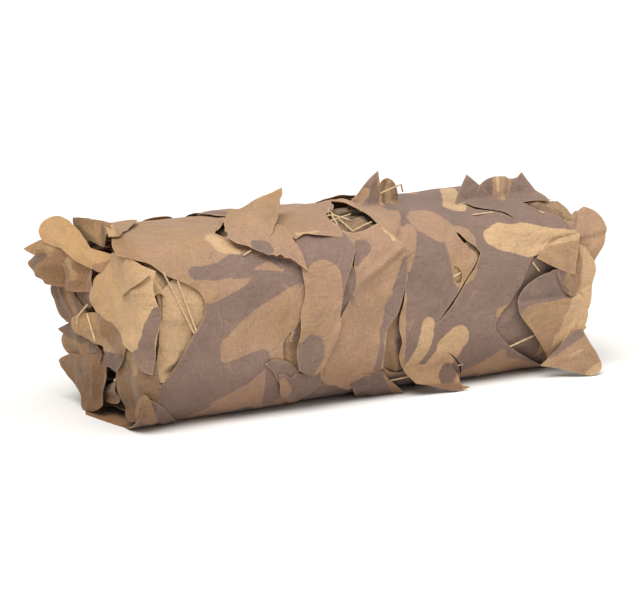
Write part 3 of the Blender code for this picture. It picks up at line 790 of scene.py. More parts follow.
# Its low shade is painted shade, for the dark in the slit.
side_sheet(
    "leaf_behind_slit", 36, -2.6, "tan",
    cut=(
        (0, 106, "corner"), (22, 112), (24, 90), (20, 74), (26, 60), (34, 50, "corner"), (20, 50), (2, 60),
        (-2, 80),
    ),
    strokes=(("brown", 20, 112, 19, 84, 4, 4), ("brown", 19, 84, 22, 64, 4, 3)),
    lifts=(
        (6, 100, 16, 88, 2, 2.4), (10, 95, 19, 83, 2, -2.0), (12, 84, 18, 62, 2.5, 1.4),
        (8, 78, 13, 60, 1.8, -1.2),
    ),
    shade=0.78,
)
side_sheet(
    "leaf_low_middle", 37, 0.2, "brown",
    cut=(
        (-44, 69, "corner"), (-20, 69), (6, 68), (8, 63, "corner"), (2, 58), (-6, 54), (-22, 56), (-34, 60),
        (-46, 64),
    ),
    strokes=(("tan", -22, 60, 2, 62, 3, 5),),
    rise=0.2,
)
side_sheet(
    "leaf_notch", 38, -2.5, "ochre",
    cut=(
        (-154, 138, "corner"), (-140, 146), (-124, 138), (-122, 122), (-131, 104), (-140, 94), (-148, 86),
        (-154, 80.5), (-158, 80.5), (-161, 86), (-159, 94), (-158, 101), (-157, 112), (-155, 122),
    ),
    lifts=(
        (-157, 116.5, -138, 113.5, 1.4, -0.5), (-156, 119.5, -138, 117, 2.2, 1.0),
        (-158, 103, -142, 99, 2.5, 0.9), (-162, 86, -147, 93, 2.5, 1.8), (-160, 83, -150, 87, 2, -1.0),
        (-161, 84, -155, 80, 5, 2.8), (-150, 138, -154, 118, 3, 0.8),
    ),
    rise=0.0,
)
side_sheet(
    "leaf_notch_strip", 92, -1.2, "ochre",
    cut=(
        (-170, 148), (-160, 146.5), (-155, 140), (-152.8, 133.5, "corner"), (-158, 136), (-164, 130),
        (-171, 136),
    ),
    lifts=((-162, 146, -155, 136, 2, 1.0),),
    rise=0.2,
)
side_sheet(
    "leaf_front_lobe", 44, 2.6, "brown",
    cut=(
        (142, 54, "corner"), (134, 65), (124, 76.5), (114.5, 87), (109, 94.5), (107.3, 100), (108.5, 106),
        (112, 111), (121, 115.5), (132, 119.5, "corner"), (141, 121), (150, 118), (156, 111),
        (158.5, 103, "corner"), (164, 97), (167, 88), (165, 80), (160, 73), (152, 62),
    ),
    strokes=(
        ("tan", 122, 86, 148, 88, 14, 12), ("tan", 136, 70, 148, 80, 10, 12),
        ("ochre", 163, 108, 159, 96, 5, 6), ("ochre", 159, 96, 152, 84, 6, 5),
        ("ochre", 152, 84, 144, 72, 4.5, 4), ("ochre", 144, 72, 139, 58, 4, 3.5),
        ("ochre", 165, 102, 168, 84, 5, 6), ("ochre", 168, 84, 160, 72, 6, 4),
        ("brown", 110, 109, 138, 110, 8.2, 9),
    ),
    lifts=(
        (108, 100, 158, 98.5, 2, 1.1), (110, 103, 157, 102, 2.2, -1.6), (116, 86, 138, 60, 4, 1.0),
        (133, 119, 142, 104, 2.5, 1.8), (138, 118, 146, 106, 2.5, -1.2), (112, 108, 128, 104, 3, 0.8),
        (124, 92, 160, 94, 4, 0.8), (142, 72, 152, 96, 4, 0.7),
    ),
    own_solid=True,
)
side_sheet(
    "leaf_right_pocket", 76, 3.2, "tan",
    cut=(
        (141, 119.5), (142, 115), (144, 110), (149, 103.5), (154, 101.5), (157.5, 104), (158, 110),
        (156, 117), (149, 121, "corner"),
    ),
    strokes=(("brown", 142, 113, 148, 105, 1.5, 2.5),),
    lifts=((149, 120, 153, 103, 2.4, 1.6), (145, 118, 147, 106, 2, -1.2)),
    rise=0.4, shade=0.9,
)
side_sheet(
    "leaf_right_flap", 77, 2.4, "tan",
    cut=(
        (123, 130, "corner"), (134, 137), (146, 141), (160, 142, "corner"), (157, 134), (154.5, 125),
        (153, 116.5, "corner"), (146, 119), (139, 122), (131, 126),
    ),
    strokes=(("ochre", 132, 140, 160, 143, 3.5, 4.5),),
    lifts=(
        (157.5, 140, 153, 117, 2, 2.2), (140, 121, 153, 117, 4, 1.6), (153, 136, 149, 120, 2.5, -1.2),
        (130, 132, 148, 122, 3, 1.0), (134, 135, 150, 128, 2.5, -0.8),
    ),
)
side_sheet(
    "leaf_right_fold", 51, 1.6, "ochre",
    cut=(
        (153, 137, "corner"), (160, 135.5), (167, 130), (173.5, 119), (171, 108), (169.5, 95), (165, 82),
        (167, 78, "corner"), (160, 74), (154, 84), (152, 100), (152, 117),
    ),
    strokes=(("tan", 156, 136, 158, 122, 3, 4), ("tan", 158, 122, 159, 108, 4, 2)),
    lifts=((163, 134, 164, 96, 3, 1.6), (158, 104, 166, 107, 1.6, -1.8), (158, 132, 158, 110, 2.5, -1.4)),
    own_solid=True,
)
side_sheet(
    "leaf_right_oval", 50, -1.0, "tan",
    cut=(
        (148, 138, "corner"), (153, 148), (161, 156), (169, 161.5), (177, 162.5), (183.5, 159), (187, 151),
        (186.5, 143), (182.5, 134), (177, 126.5), (171, 119, "corner"), (162, 116), (154, 122),
    ),
    lifts=(
        (161, 143, 172, 163, 1.8, -2.6), (164.5, 142, 175.5, 162, 2.4, 1.8), (160, 141, 188, 144, 2, 1.6),
        (160, 138, 188, 141, 2, -1.0), (168, 128, 186, 136, 4, 0.8),
    ),
    own_solid=True,
)
# Its low shade is painted shade, for the hollow under the fold.
side_sheet(
    "leaf_right_curl", 78, -1.6, "ochre",
    cut=(
        (130, 178), (140, 177), (151, 173.5), (159, 169), (161.5, 162), (160, 154), (155, 148), (146, 152),
        (136, 164),
    ),
    strokes=(
        ("tan", 128, 176, 150, 160, 5, 6), ("brown", 136, 174, 142, 160, 3, 4),
        ("tan", 146, 172, 152, 156, 2.5, 4),
    ),
    lifts=(
        (136, 176, 141, 160, 2.2, -1.2), (144, 176, 149, 158, 2, 1.4), (151, 174, 153, 154, 2, -1.2),
        (158, 172, 159, 154, 4, 2.8),
    ),
    rise=0.2, shade=0.56,
)
# Its low shade is painted shade, for the dark in the gap.
side_sheet(
    "leaf_in_gap", 83, -1.6, "tan",
    cut=(
        (-76, 104), (-68, 100.5, "corner"), (-63, 98.5, "corner"), (-57, 100), (-54, 90), (-56, 76),
        (-62, 71), (-72, 72), (-78, 82),
    ),
    lifts=((-72, 98, -70, 78, 2, -1.2), (-67, 99, -66, 76, 2.4, 1.2), (-61, 96, -59, 76, 3, 0.8)),
    shade=0.78,
)
side_sheet(
    "leaf_gap_tip", 93, -0.4, "tan",
    cut=(
        (-64, 106), (-66, 100), (-67, 95.5, "corner"), (-63.5, 95, "corner"), (-60, 98), (-54, 102),
        (-54, 116), (-60, 113),
    ),
    strokes=(("brown", -64, 96, -62, 102, 2, 2),),
    lifts=((-62, 110, -65, 97, 1.6, 1.0),),
    rise=0.3,
)
side_sheet(
    "leaf_in_slit", 94, -1.9, "ochre",
    cut=((50, 112), (52, 126), (58, 134), (68, 144), (76, 146), (80, 134), (72, 118), (62, 108)),
    strokes=(("tan", 60, 134, 74, 140, 3, 4),),
    lifts=((56, 124, 66, 122, 2, 1.2),),
    rise=0.2, shade=0.86,
)
side_sheet(
    "leaf_low_left", 84, 0.9, "brown",
    cut=(
        (-86, 83.5, "corner"), (-80, 86), (-73, 84.5), (-66, 81), (-60, 75, "corner"), (-66, 68), (-74, 70),
        (-79, 77.5),
    ),
    lifts=((-82, 84, -70, 81, 1.8, 1.0),),
    rise=0.3,
)
side_sheet(
    "leaf_recess", 89, -2.4, "brown",
    cut=(
        (86, 78), (84, 96), (96, 116), (112, 134), (130, 138), (146, 130), (142, 110), (124, 98), (134, 74),
        (150, 50), (138, 38), (112, 50),
    ),
    lifts=(
        (94, 96, 122, 128, 9, 2.0), (94, 84, 112, 98, 5, 1.4), (116, 62, 136, 70, 8, -2.4),
        (96, 94, 110, 78, 3, 0.8),
    ),
)
# Its low shade is painted shade, for the dark deep in the opening.
side_sheet(
    "leaf_in_opening", 91, -4.2, "ochre",
    cut=(
        (-30, 168), (-22, 158), (-4, 156), (12, 160), (20, 172), (24, 198), (14, 222), (-8, 218),
        (-28, 196),
    ),
    strokes=(("tan", -20, 164, 6, 166, 4, 5), ("brown", 2, 186, 14, 176, 4, 4)),
    lifts=((-24, 172, 6, 180, 3, 2.4), (-16, 162, -8, 190, 3, -1.6), (0, 162, 10, 184, 3, 1.8)),
    shade=0.46,
)
side_sheet(
    "leaf_low_corner", 85, 0.9, "brown",
    cut=(
        (-169, 73, "corner"), (-160, 68), (-150, 58), (-140, 46), (-134, 38, "corner"), (-150, 32),
        (-168, 30, "corner"), (-170, 50),
    ),
    strokes=(("tan", -166, 44, -150, 40, 4, 5),),
    lifts=((-168, 60, -146, 44, 3, 1.8), (-164, 70, -156, 46, 3, 1.4), (-156, 60, -150, 38, 3, -1.2)),
)


# ---- Leaves on the top and the back ---------------------------------------------------------------
# Leaves of the same cloth that stand off the roll, as peaks along its top, or lie over its back. Each
# is still joined to its length of cloth at the root.
side_sheet(
    "leaf_peak_middle", 46, 0.8, "brown",
    cut=((8, 194), (11, 204), (20, 212), (30, 221), (37, 226, "corner"), (38, 216), (37.5, 206), (37, 194)),
    strokes=(("tan", 10, 200, 26, 212, 5, 3), ("tan", 37, 224, 38, 200, 1.5, 2.5)),
    lifts=((36, 226, 24, 202, 3, 1.6), (14, 204, 32, 212, 3, -0.8), (6, 196, 40, 196, 4, -2.2)),
    folds=(Fold(0, 201, 90, 76, 5),),
    shade=1.06, own_solid=True,
)
side_sheet(
    "leaf_peak_curl", 47, 0.6, "ochre",
    cut=((34, 194), (35, 204), (36, 214), (40, 219.5), (46, 219.5), (50, 213), (50, 203), (49, 194)),
    strokes=(("tan", 37, 200, 40, 218, 4, 3), ("tan", 48, 216, 49, 198, 3, 3)),
    lifts=((42, 216, 42, 196, 2.5, -2.6), (47, 216, 47, 200, 2, 1.4), (36, 195, 50, 195, 4, -2.2)),
    folds=(Fold(0, 201, 90, 80, 5),),
    shade=0.76, own_solid=True,
)
side_sheet(
    "leaf_peak_far", 49, 1.2, "brown",
    cut=(
        (98, 176), (101, 188), (106, 196), (113, 200), (120, 201.5, "corner"), (128, 200.5), (136, 198.5),
        (142, 202, "corner"), (148, 193), (153, 184), (157, 176, "corner"),
    ),
    strokes=(("tan", 121, 182, 127, 202, 6, 8), ("ochre", 121, 192, 122, 200, 1, 1.5)),
    lifts=(
        (132, 200, 127, 180, 2, -2.6), (128, 200, 123, 184, 2, 1.4), (137, 200, 134, 184, 3, 1.4),
        (117, 200, 114, 184, 3, -1.4), (142, 202, 148, 184, 3, 1.2), (96, 177, 160, 177, 5, -3.4),
    ),
    folds=(Fold(0, 184, 90, 68, 5),),
    own_solid=True,
)
side_sheet(
    "leaf_peak_right", 48, 1.6, "brown",
    cut=(
        (81, 176, "corner"), (84, 186), (90, 195), (97, 204.5, "corner"), (103, 199), (111, 192),
        (118, 184), (122, 176, "corner"),
    ),
    lifts=((97, 203, 99, 184, 3, 1.4), (88, 192, 96, 186, 3, -0.8), (80, 177, 122, 177, 5, -3.4)),
    folds=(Fold(0, 184, 90, 66, 5),),
    own_solid=True,
)

# A loose leaf runs out from its root at (u, v) and that height, in its heading. Bend and the two
# lifts are degrees over its whole length, left_edge and right_edge are half widths from root to tip,
# rounded is the share of its length in its rounded tip, and cup is how far its edges stand up.
Leaf = namedtuple(
    "Leaf", "name u v height heading bend length left_edge right_edge rounded root_lift tip_lift cup")
TIP = 0.6  # half width of a pointed tip
NARROWEST = 0.4
SPINE_STEPS = 60
EDGE_UNEVEN, EDGE_WAVE = 0.5, 11.0  # how uneven a leaf's edge is cut, and over what length
ROOT_EASE = 14.0  # creases come in over so much of the leaf, from its root
CREASES_APART = 15.0  # distance between the creases across it


def half_width(widths, share):
    """The half width between the stated ones, on a smooth curve through them."""
    widths = np.array(widths, float)
    place = np.clip(share, 0, 0.9999) * (len(widths) - 1)
    first = place.astype(int)
    padded = np.concatenate([[widths[0]], widths, [widths[-1]]])
    before, here, after, later = (padded[first + i] for i in range(4))
    return curve_through(place - first, here, (after - before) / 2, after, (later - here) / 2)


def leaf_edge(leaf, widths, seed):
    """One edge of a leaf from root to tip: along it and out from its middle."""
    share = np.linspace(0, 1, max(8, round(leaf.length / CUT_STEP)))
    along = share * leaf.length
    uneven = ripple(along, np.zeros(len(share)), seed, EDGE_WAVE, EDGE_UNEVEN)
    wide = half_width(widths, share) + uneven * (share > 0.05)
    if leaf.rounded:
        past = np.clip((share - 1 + leaf.rounded) / leaf.rounded, 0, 1)
        wide = wide * np.sqrt(np.maximum(1 - past**2, 0.01))
    return np.column_stack([along, np.maximum(wide, NARROWEST)])


def zigzag(x):
    return 1 - 2 * np.abs(np.mod(x, 2.0) - 1)


def loose_leaf(leaf, seed, ground, strokes=(), crumple=0.8):
    left, right = leaf_edge(leaf, leaf.left_edge, seed), leaf_edge(leaf, leaf.right_edge, seed + 7)
    flat, faces, from_cut = fill(np.concatenate([left, (right * (1, -1))[::-1]]), pitch=2.2)
    a, b = flat.T
    share = np.clip(a / leaf.length, 0, 1)
    middle = (np.arange(SPINE_STEPS) + 0.5) / SPINE_STEPS
    heading = np.radians(leaf.heading + leaf.bend * middle)
    lift = np.radians(leaf.root_lift + (leaf.tip_lift - leaf.root_lift) * middle)
    stride = leaf.length / SPINE_STEPS

    def walk(steps, start):
        path = np.concatenate([[0], np.cumsum(stride * steps)]) + start
        return np.interp(share, np.linspace(0, 1, SPINE_STEPS + 1), path)

    u = walk(np.cos(lift) * np.cos(heading), leaf.u)
    v = walk(np.cos(lift) * np.sin(heading), leaf.v)
    height = walk(np.sin(lift), leaf.height)
    turned = np.radians(leaf.heading + leaf.bend * share)
    sloped = np.radians(leaf.root_lift + (leaf.tip_lift - leaf.root_lift) * share)
    side = np.clip(b / np.maximum(half_width(leaf.left_edge, share), 1), -1.3, 1.3)
    # Creases run out from the root like a fan's, and cross creases fold the leaf a little
    fan = zigzag(1.6 * side + 0.6 * ripple(a, b, seed + 3, 40.0, 1.0))
    across = zigzag(a / CREASES_APART + 0.5 * side + seed)
    bump = crumple * (0.9 * fan + 0.5 * across + ripple(a, b, seed + 5, 15.0, 0.5))
    bump = bump * smoothstep(a / ROOT_EASE) + leaf.cup * side**2
    back = -bump * np.sin(sloped)
    u = u - b * np.sin(turned) + back * np.cos(turned)
    v = v + b * np.cos(turned) + back * np.sin(turned)
    cloth_piece(leaf.name, flat, faces, from_cut, round_roll(u, v, height + bump * np.cos(sloped)),
                paint(a, b, ground, strokes), Look("leaf_" + ground), (leaf.name,))


loose_leaf(
    Leaf("leaf_peak_left", -94, 168.5, 1.8, 29, 0, 61,
         left_edge=(8, 17, 16, 9, TIP), right_edge=(10, 15, 11, 6, TIP),
         rounded=0.0, root_lift=6, tip_lift=26, cup=0.8),
    45, "tan", crumple=0.9,
)
side_sheet(
    "leaf_back_tongue", 96, 2.4, "tan",
    cut=(
        (-96, 250), (-88, 258), (-84, 272), (-86, 288), (-92, 303), (-102, 312), (-113, 310), (-118, 299),
        (-116, 284), (-112, 270), (-114, 257), (-106, 250),
    ),
    strokes=(("brown", -92, 268, -108, 282, 6, 9), ("ochre", -104, 300, -98, 306, 3, 5)),
    lifts=((-100, 256, -102, 308, 3, 1.0), (-114, 274, -92, 294, 3, -0.8)),
)
side_sheet(
    "leaf_back_wide", 97, 2.2, "ochre",
    cut=(
        (18, 244), (30, 240), (44, 244), (54, 256), (58, 272), (54, 288), (44, 300, "corner"), (36, 308),
        (24, 310), (14, 302), (12, 288, "corner"), (18, 276), (14, 260),
    ),
    strokes=(("tan", 26, 250, 46, 268, 10, 12), ("brown", 22, 290, 44, 284, 6, 8)),
    lifts=((22, 250, 34, 304, 3, 1.2), (44, 254, 20, 292, 4, -0.8)),
)
loose_leaf(
    Leaf("leaf_back_left", -118, 282, 1.5, 52, 12, 62,
         left_edge=(14, 18, 18, 14, 8), right_edge=(14, 16, 15, 12, 8),
         rounded=0.25, root_lift=0, tip_lift=6, cup=0.8),
    52, "brown", strokes=(("tan", 20, 14, 44, 4, 6, 9),),
)
loose_leaf(
    Leaf("leaf_back_middle", -36, 286, 1.5, 84, -14, 54,
         left_edge=(14, 19, 18, 13, 5), right_edge=(13, 17, 19, 14, 5),
         rounded=0.2, root_lift=0, tip_lift=6, cup=0.8),
    53, "tan", strokes=(("brown", 8, -12, 40, 6, 6, 9),),
)
loose_leaf(
    Leaf("leaf_back_right", 58, 284, 1.5, 68, 10, 56,
         left_edge=(15, 19, 20, 16, 8), right_edge=(14, 20, 18, 13, 8),
         rounded=0.3, root_lift=0, tip_lift=6, cup=0.8),
    54, "brown", strokes=(("ochre", 10, 4, 36, 8, 5, 6),),
)
loose_leaf(
    Leaf("leaf_back_end", 128, 286, 1.5, 96, -8, 52,
         left_edge=(12, 17, 17, 12, 3), right_edge=(14, 16, 16, 12, 3),
         rounded=0.1, root_lift=0, tip_lift=8, cup=0.8),
    55, "ochre", strokes=(("brown", 6, 8, 30, -6, 5, 7),),
)
loose_leaf(
    Leaf("leaf_back_peak", -62, 214, 1.5, 118, 0, 50,
         left_edge=(14, 13, 10, 6, TIP), right_edge=(13, 13, 11, 7, TIP),
         rounded=0.0, root_lift=0, tip_lift=2, cup=0.2),
    56, "tan", strokes=(("brown", 0, 0, 20, 6, 6, 7),), crumple=0.25,
)


# ---- Leaves over the left end --------------------------------------------------------------------
# The lengths of cloth end in leaves there too. They fold over the roll's end in all directions and
# hide most of the turns behind.
# The low shade values of most of these leaves are painted shade, darker toward the bottom and in hollows.
ROUND_EDGE = 6.0  # radius over which cloth turns the roll's edge
CREASES, CROSS_CREASES = (13.0, 23.0), (31.0, 12.0)  # two slanting sets: their spacing along p and q


def end_face(side):
    """Points at a height outside one end, where p runs right and q up; past the edge they turn it."""
    out_sign, p_sign = (-1, -1) if side == "left" else (1, 1)
    half = len(SECTION) // 2
    walk = SECTION[:half] if side == "left" else SECTION[half:][::-1]

    def place(p, q, height):
        start = np.abs(np.interp(q, walk[:, 1], walk[:, 0])) - ROUND_EDGE
        past = np.maximum(p - start, 0)
        radius = ROUND_EDGE + np.maximum(height, 0.5 - ROUND_EDGE)
        angle = np.minimum(past / radius, math.pi / 2)
        rest = np.maximum(past - radius * math.pi / 2, 0)
        turned = past > 0
        out = np.where(turned, ROLL_LENGTH / 2 - ROUND_EDGE + radius * np.cos(angle) - rest,
                       ROLL_LENGTH / 2 + height)
        along = np.where(turned, start + radius * np.sin(angle), p)
        return np.column_stack([out_sign * out, p_sign * along, np.maximum(q, FLOOR_GAP)])

    return place


left_end = end_face("left")


# A sheet in a plane: place is where its points go, and it leans by so much for each millimetre along
# p and drops by so much for each along q. The rest is as on the roll's side.
def end_sheet(name, place, seed, height, ground, cut, strokes=(), lifts=(), folds=(), crumple=0.8,
              lean=0.0, drop=0.0, pitch=1.7, slot=None, shade=1.0, soil=1.0, own_solid=True):
    flat, faces, from_cut = fill(smooth_outline(cut), pitch)
    a, b = flat.T
    off = height - lean * a - drop * b + crumple * (
        0.9 * zigzag(a / CREASES[0] + b / CREASES[1] + seed)
        + 0.7 * zigzag(b / CROSS_CREASES[1] - a / CROSS_CREASES[0])
        + ripple(a, b, seed, 16.0, 0.5)) + crease_relief(a, b, lifts)
    points = np.column_stack([flat, off])
    for bend in reversed(folds):
        points = fold(flat, points, bend)
    cloth_piece(name, flat, faces, from_cut, place(*points.T), paint(a, b, ground, strokes),
                Look(slot or "leaf_" + ground, shade, soil), (name,) if own_solid else ())


end_sheet(
    "leaf_end_large", left_end, 61, 5.8, "ochre",
    cut=(
        (-6, 75.5), (-2, 82.5), (6, 91.5), (18, 98.5), (30, 108.5), (40, 110.5), (51, 107.5),
        (67, 102, "corner"), (67, 96), (71, 86), (73, 72), (71, 55), (68, 40, "corner"), (62, 42), (54, 50),
        (42, 56.5), (28, 63.5), (14, 67), (0, 69.5),
    ),
    strokes=(("brown", 47, 47, 66, 49, 3, 9), ("brown", 64, 55, 71, 78, 6, 4)),
    lifts=(
        (0, 76, 62, 92, 5, 1.2), (20, 68, 60, 80, 5, -0.9), (44, 56, 66, 60, 3, 1.0),
        (34, 64, 50, 96, 4, 0.7),
    ),
    slot="leaf_tan",
)
end_sheet(
    "leaf_end_corner", left_end, 72, 7.4, "ochre",
    cut=(
        (28, 108), (40, 110), (53, 107), (67, 101, "corner"), (63, 97), (55, 92), (44, 85, "corner"),
        (34, 95),
    ),
    lifts=((45, 86, 66, 100, 2.5, 1.6),),
    crumple=0.3, shade=0.9, slot="leaf_tan", own_solid=False,
)
end_sheet(
    "leaf_end_low", left_end, 62, 3.2, "tan",
    cut=(
        (40, 58), (31, 47), (25, 40), (23.5, 26), (26, 13), (31, 6), (44, 6), (58, 12), (67, 22), (70, 38),
        (62, 56),
    ),
    strokes=(("ochre", 38, 54, 50, 40, 5, 4),),
    lifts=(
        (29, 42, 30, 10, 3, 1.4), (44, 56, 40, 12, 4, -1.2), (50, 50, 58, 18, 4, 1.2),
        (26, 36, 62, 34, 1.6, 0.8), (24, 11, 64, 13, 10, -5.0),
    ),
    crumple=0.5, shade=0.62,
)
end_sheet(
    "leaf_end_curl", left_end, 73, 4.6, "tan",
    cut=((53, 7), (51.5, 13), (54, 20), (59, 25.5), (63, 27), (65, 20), (64.5, 12), (60, 5)),
    lifts=((54, 12, 62, 26, 2.5, 1.2),),
    crumple=0.2, shade=0.8, own_solid=False,
)
end_sheet(
    "leaf_end_hook", left_end, 63, 5.6, "ochre",
    cut=(
        (-30.5, 57), (-23.5, 61.5), (-7.5, 66), (7.5, 68), (20.5, 65.5), (35, 60.5), (43, 54.5), (40, 49),
        (36, 41.5), (28.5, 34.5, "corner"), (20, 36), (11, 35, "corner"), (14, 42), (13, 47), (1, 48),
        (-10.5, 49), (-24, 50),
    ),
    strokes=(("tan", 14, 66, 38, 52, 9, 8), ("brown", 16, 38, 38, 42, 8, 6)),
    lifts=(
        (-28, 55, 20, 58, 5, 1.6), (-14, 64, -12, 50, 1.8, 2.0), (-20, 62, -18, 50, 2.4, -1.6),
        (14, 64, 14, 46, 2.2, 1.4),
    ),
    shade=0.77,
)
end_sheet(
    "leaf_end_square", left_end, 64, 3.6, "tan",
    cut=(
        (-57, 25.5, "corner"), (-48, 30), (-38.5, 34, "corner"), (-17, 37), (4, 41.5, "corner"), (9.5, 38),
        (9.5, 30), (8, 23), (1, 13, "corner"), (4, 8), (-10, 1.5), (-22, 0.5, "corner"), (-25, 6),
        (-28, 10.5), (-43.5, 18.5),
    ),
    lifts=(
        (-50, 26, 0, 34, 4, 1.0), (-2, 40, -8, 12, 2.5, 1.8), (6, 38, 1, 14, 4, -2.6),
        (-24, 8, 0, 10, 3, -1.2), (-22, 3, 2, 6, 2, 1.2),
    ),
    crumple=0.4, shade=0.74, slot="leaf_brown",
)
end_sheet(
    "leaf_end_crumple", left_end, 65, 5.6, "tan",
    cut=(
        (-66, 89), (-63, 94, "corner"), (-53, 98), (-40, 101), (-26.5, 103), (-17, 99), (0, 92), (0, 82),
        (-10, 79), (-22, 78), (-42, 78.5), (-55, 82),
    ),
    strokes=(("brown", -60, 90, -50, 96, 3, 4), ("ochre", -24, 98, -18, 88, 2, 3)),
    lifts=(
        (-56, 82, -32, 101, 3, 2.4), (-34, 79, -27, 101, 2.5, -3.0), (-22, 79, -16, 98, 3, 2.4),
        (-12, 80, -6, 94, 2.5, -2.2), (-64, 90, -30, 93, 2, 1.2),
    ),
    crumple=1.8, lean=0.21, shade=0.8, slot="leaf_brown",
)
end_sheet(
    "leaf_end_tongue", left_end, 66, 7.6, "ochre",
    cut=(
        (-51, 114), (-47.5, 119), (-40, 122.8), (-30, 124.6), (-22, 123), (-17, 120), (-4.5, 113),
        (0, 109.4), (12.5, 108), (25.5, 106.5, "corner"), (22, 101), (10.5, 94.5), (0.5, 94.5),
        (-9.5, 96.5), (-23.5, 102), (-30.5, 104), (-42.5, 105), (-49.5, 107.5),
    ),
    strokes=(("tan", 2, 96, 24, 98, 2, 7),),
    lifts=((-50, 112, 10, 100, 6, 1.4), (-20, 104, -2, 108, 3, -0.9), (-12, 91, 28, 92, 8, -2.4)),
    crumple=0.6, lean=0.17, shade=1.14, slot="leaf_tan",
)
end_sheet(
    "leaf_end_tip", left_end, 74, 5.2, "ochre",
    cut=(
        (-71, 98, "corner"), (-63, 102), (-54, 106), (-44, 108), (-30, 108), (-24, 103), (-30, 97),
        (-44, 96.5), (-58, 95),
    ),
    lifts=((-60, 100, -30, 102, 2, 1.0),),
    crumple=0.5, lean=0.2, shade=0.84, own_solid=False,
)
end_sheet(
    "leaf_end_flap", left_end, 67, 3.0, "ochre",
    cut=(
        (-29, 123, "corner"), (-18.5, 124.6), (5.5, 126), (18, 126, "corner"), (14, 120), (11, 115),
        (10, 110, "corner"), (-2, 111), (-14, 112.5), (-26, 116.5),
    ),
    strokes=(("tan", 8, 122, 10, 112, 2, 2),),
    lifts=((-26, 120, 4, 114, 3, 1.4), (-4, 125, 6, 112, 3, 1.6), (8, 125, 10, 112, 2, -1.4)),
    crumple=0.6, lean=0.05, shade=0.66, slot="leaf_tan",
)
end_sheet(
    "leaf_end_back", left_end, 68, 2.2, "brown",
    cut=(
        (-60, 72), (-50, 79), (-36, 79), (-24, 72), (-16, 62), (-22, 55), (-40.5, 54, "corner"), (-48, 58),
        (-54, 65),
    ),
    strokes=(("tan", -40, 76, -28, 62, 3, 3),),
    lifts=((-48, 78, -32, 58, 2.5, 2.0), (-54, 74, -40, 58, 2.5, -1.4)),
    lean=0.08, shade=0.94,
)
end_sheet(
    "leaf_end_spike", left_end, 75, 2.6, "brown",
    cut=((-54, 47, "corner"), (-42, 53), (-26, 60), (-10, 58), (-8, 44), (-24, 42), (-40, 43)),
    lean=0.03, shade=0.85, own_solid=False,
)
side_sheet(
    "leaf_end_scrap", 86, 1.4, "tan",
    cut=(
        (-175, 182, "corner"), (-170, 195), (-166, 208), (-160, 221, "corner"), (-152, 226),
        (-143, 231, "corner"), (-137, 228), (-134, 222, "corner"), (-141, 212), (-151, 201), (-162, 188),
        (-169, 180),
    ),
    strokes=(("ochre", -172, 184, -158, 218, 3, 4),),
    lifts=((-168, 196, -146, 214, 3, 1.4), (-160, 220, -140, 222, 3, 1.2)),
    rise=1.6,
)
end_sheet(
    "leaf_end_roll", left_end, 95, -2.0, "tan",
    cut=((-4, 12), (-2.5, 17.5), (6, 22), (14, 25.5, "corner"), (17, 20), (18.5, 13), (3, 9.5)),
    strokes=(("ochre", 2, 19, 14, 24, 1, 2),),
    lifts=((-2, 16, 16, 20, 2.5, 2.4), (0, 13, 18, 15, 2, -1.6)),
    crumple=1.0, shade=0.72, own_solid=False,
)
end_sheet(
    "leaf_end_under", left_end, 87, 2.4, "tan",
    cut=((-49, 35), (-51, 43), (-38, 48), (-12, 48), (4, 43), (2, 35), (-20, 33), (-40, 32)),
    strokes=(("brown", -10, 44, 4, 38, 4, 5),),
    lifts=((-46, 40, 0, 42, 4, 1.6),),
    shade=0.85, own_solid=False,
)
end_sheet(
    "leaf_end_middle", left_end, 88, 2.6, "brown",
    cut=((-39, 71), (-35, 75), (-26, 79), (-11, 80), (-4, 76), (-9, 70), (-20, 66), (-31, 65.5)),
    lifts=((-36, 69, -8, 76, 4, 1.4),),
    shade=1.04, own_solid=False,
)


# ---- Leaves on the floor -------------------------------------------------------------------------
# Tips of the lowest leaves, which stick out from under the roll's front edge and rest on the surface
# that it lies on.
def in_front(p, q, height):
    """Points at a height before the roll's front, where p runs along it and q up from the floor."""
    return np.column_stack([p, -ROLL_DEPTH / 2 - height, np.maximum(q, FLOOR_GAP)])


side_sheet(
    "leaf_floor_wide", 41, 2.0, "brown",
    cut=(
        (-24, 63.5, "corner"), (-19, 66), (-13, 67.5), (-5, 68), (3, 68, "corner"), (9, 62), (17, 55.5),
        (27, 48.5, "corner"), (16, 44), (6, 42), (-3, 39.5, "corner"), (-8, 45), (-13, 53), (-18, 58.5),
    ),
    strokes=(("tan", 6, 66, 24, 48, 2, 5), ("tan", -15, 54, -4, 42, 2, 3)),
    lifts=((27, 48, 27, 48, 15, 5.5), (-10, 64, 6, 46, 4, 1.0), (-24, 63, -4, 67, 3, -1.2)),
    rise=0.3, shade=0.88, own_solid=True,
)
end_sheet(
    "leaf_floor_spike", in_front, 42, -3.2, "ochre",
    cut=(
        (20, 22), (21.5, 17.5), (24, 15), (28.5, 9.5, "corner"), (38, 7), (57, 1.4), (63.5, 0.8, "corner"),
        (70, 2.2, "corner"), (63, 5), (62, 10), (59.5, 15.5), (55, 25, "corner"), (40, 27), (28, 26),
    ),
    strokes=(("brown", 52.5, 11, 55, 13.5, 6, 6), ("tan", 34, 6, 60, 2, 2.5, 4)),
    lifts=((34, 12, 62, 5, 2.5, 0.8), (63, 5, 63, 1, 2, -1.0)),
    folds=(Fold(0, 21, -90, 21, 5),),
    crumple=0.3, shade=0.8,
)
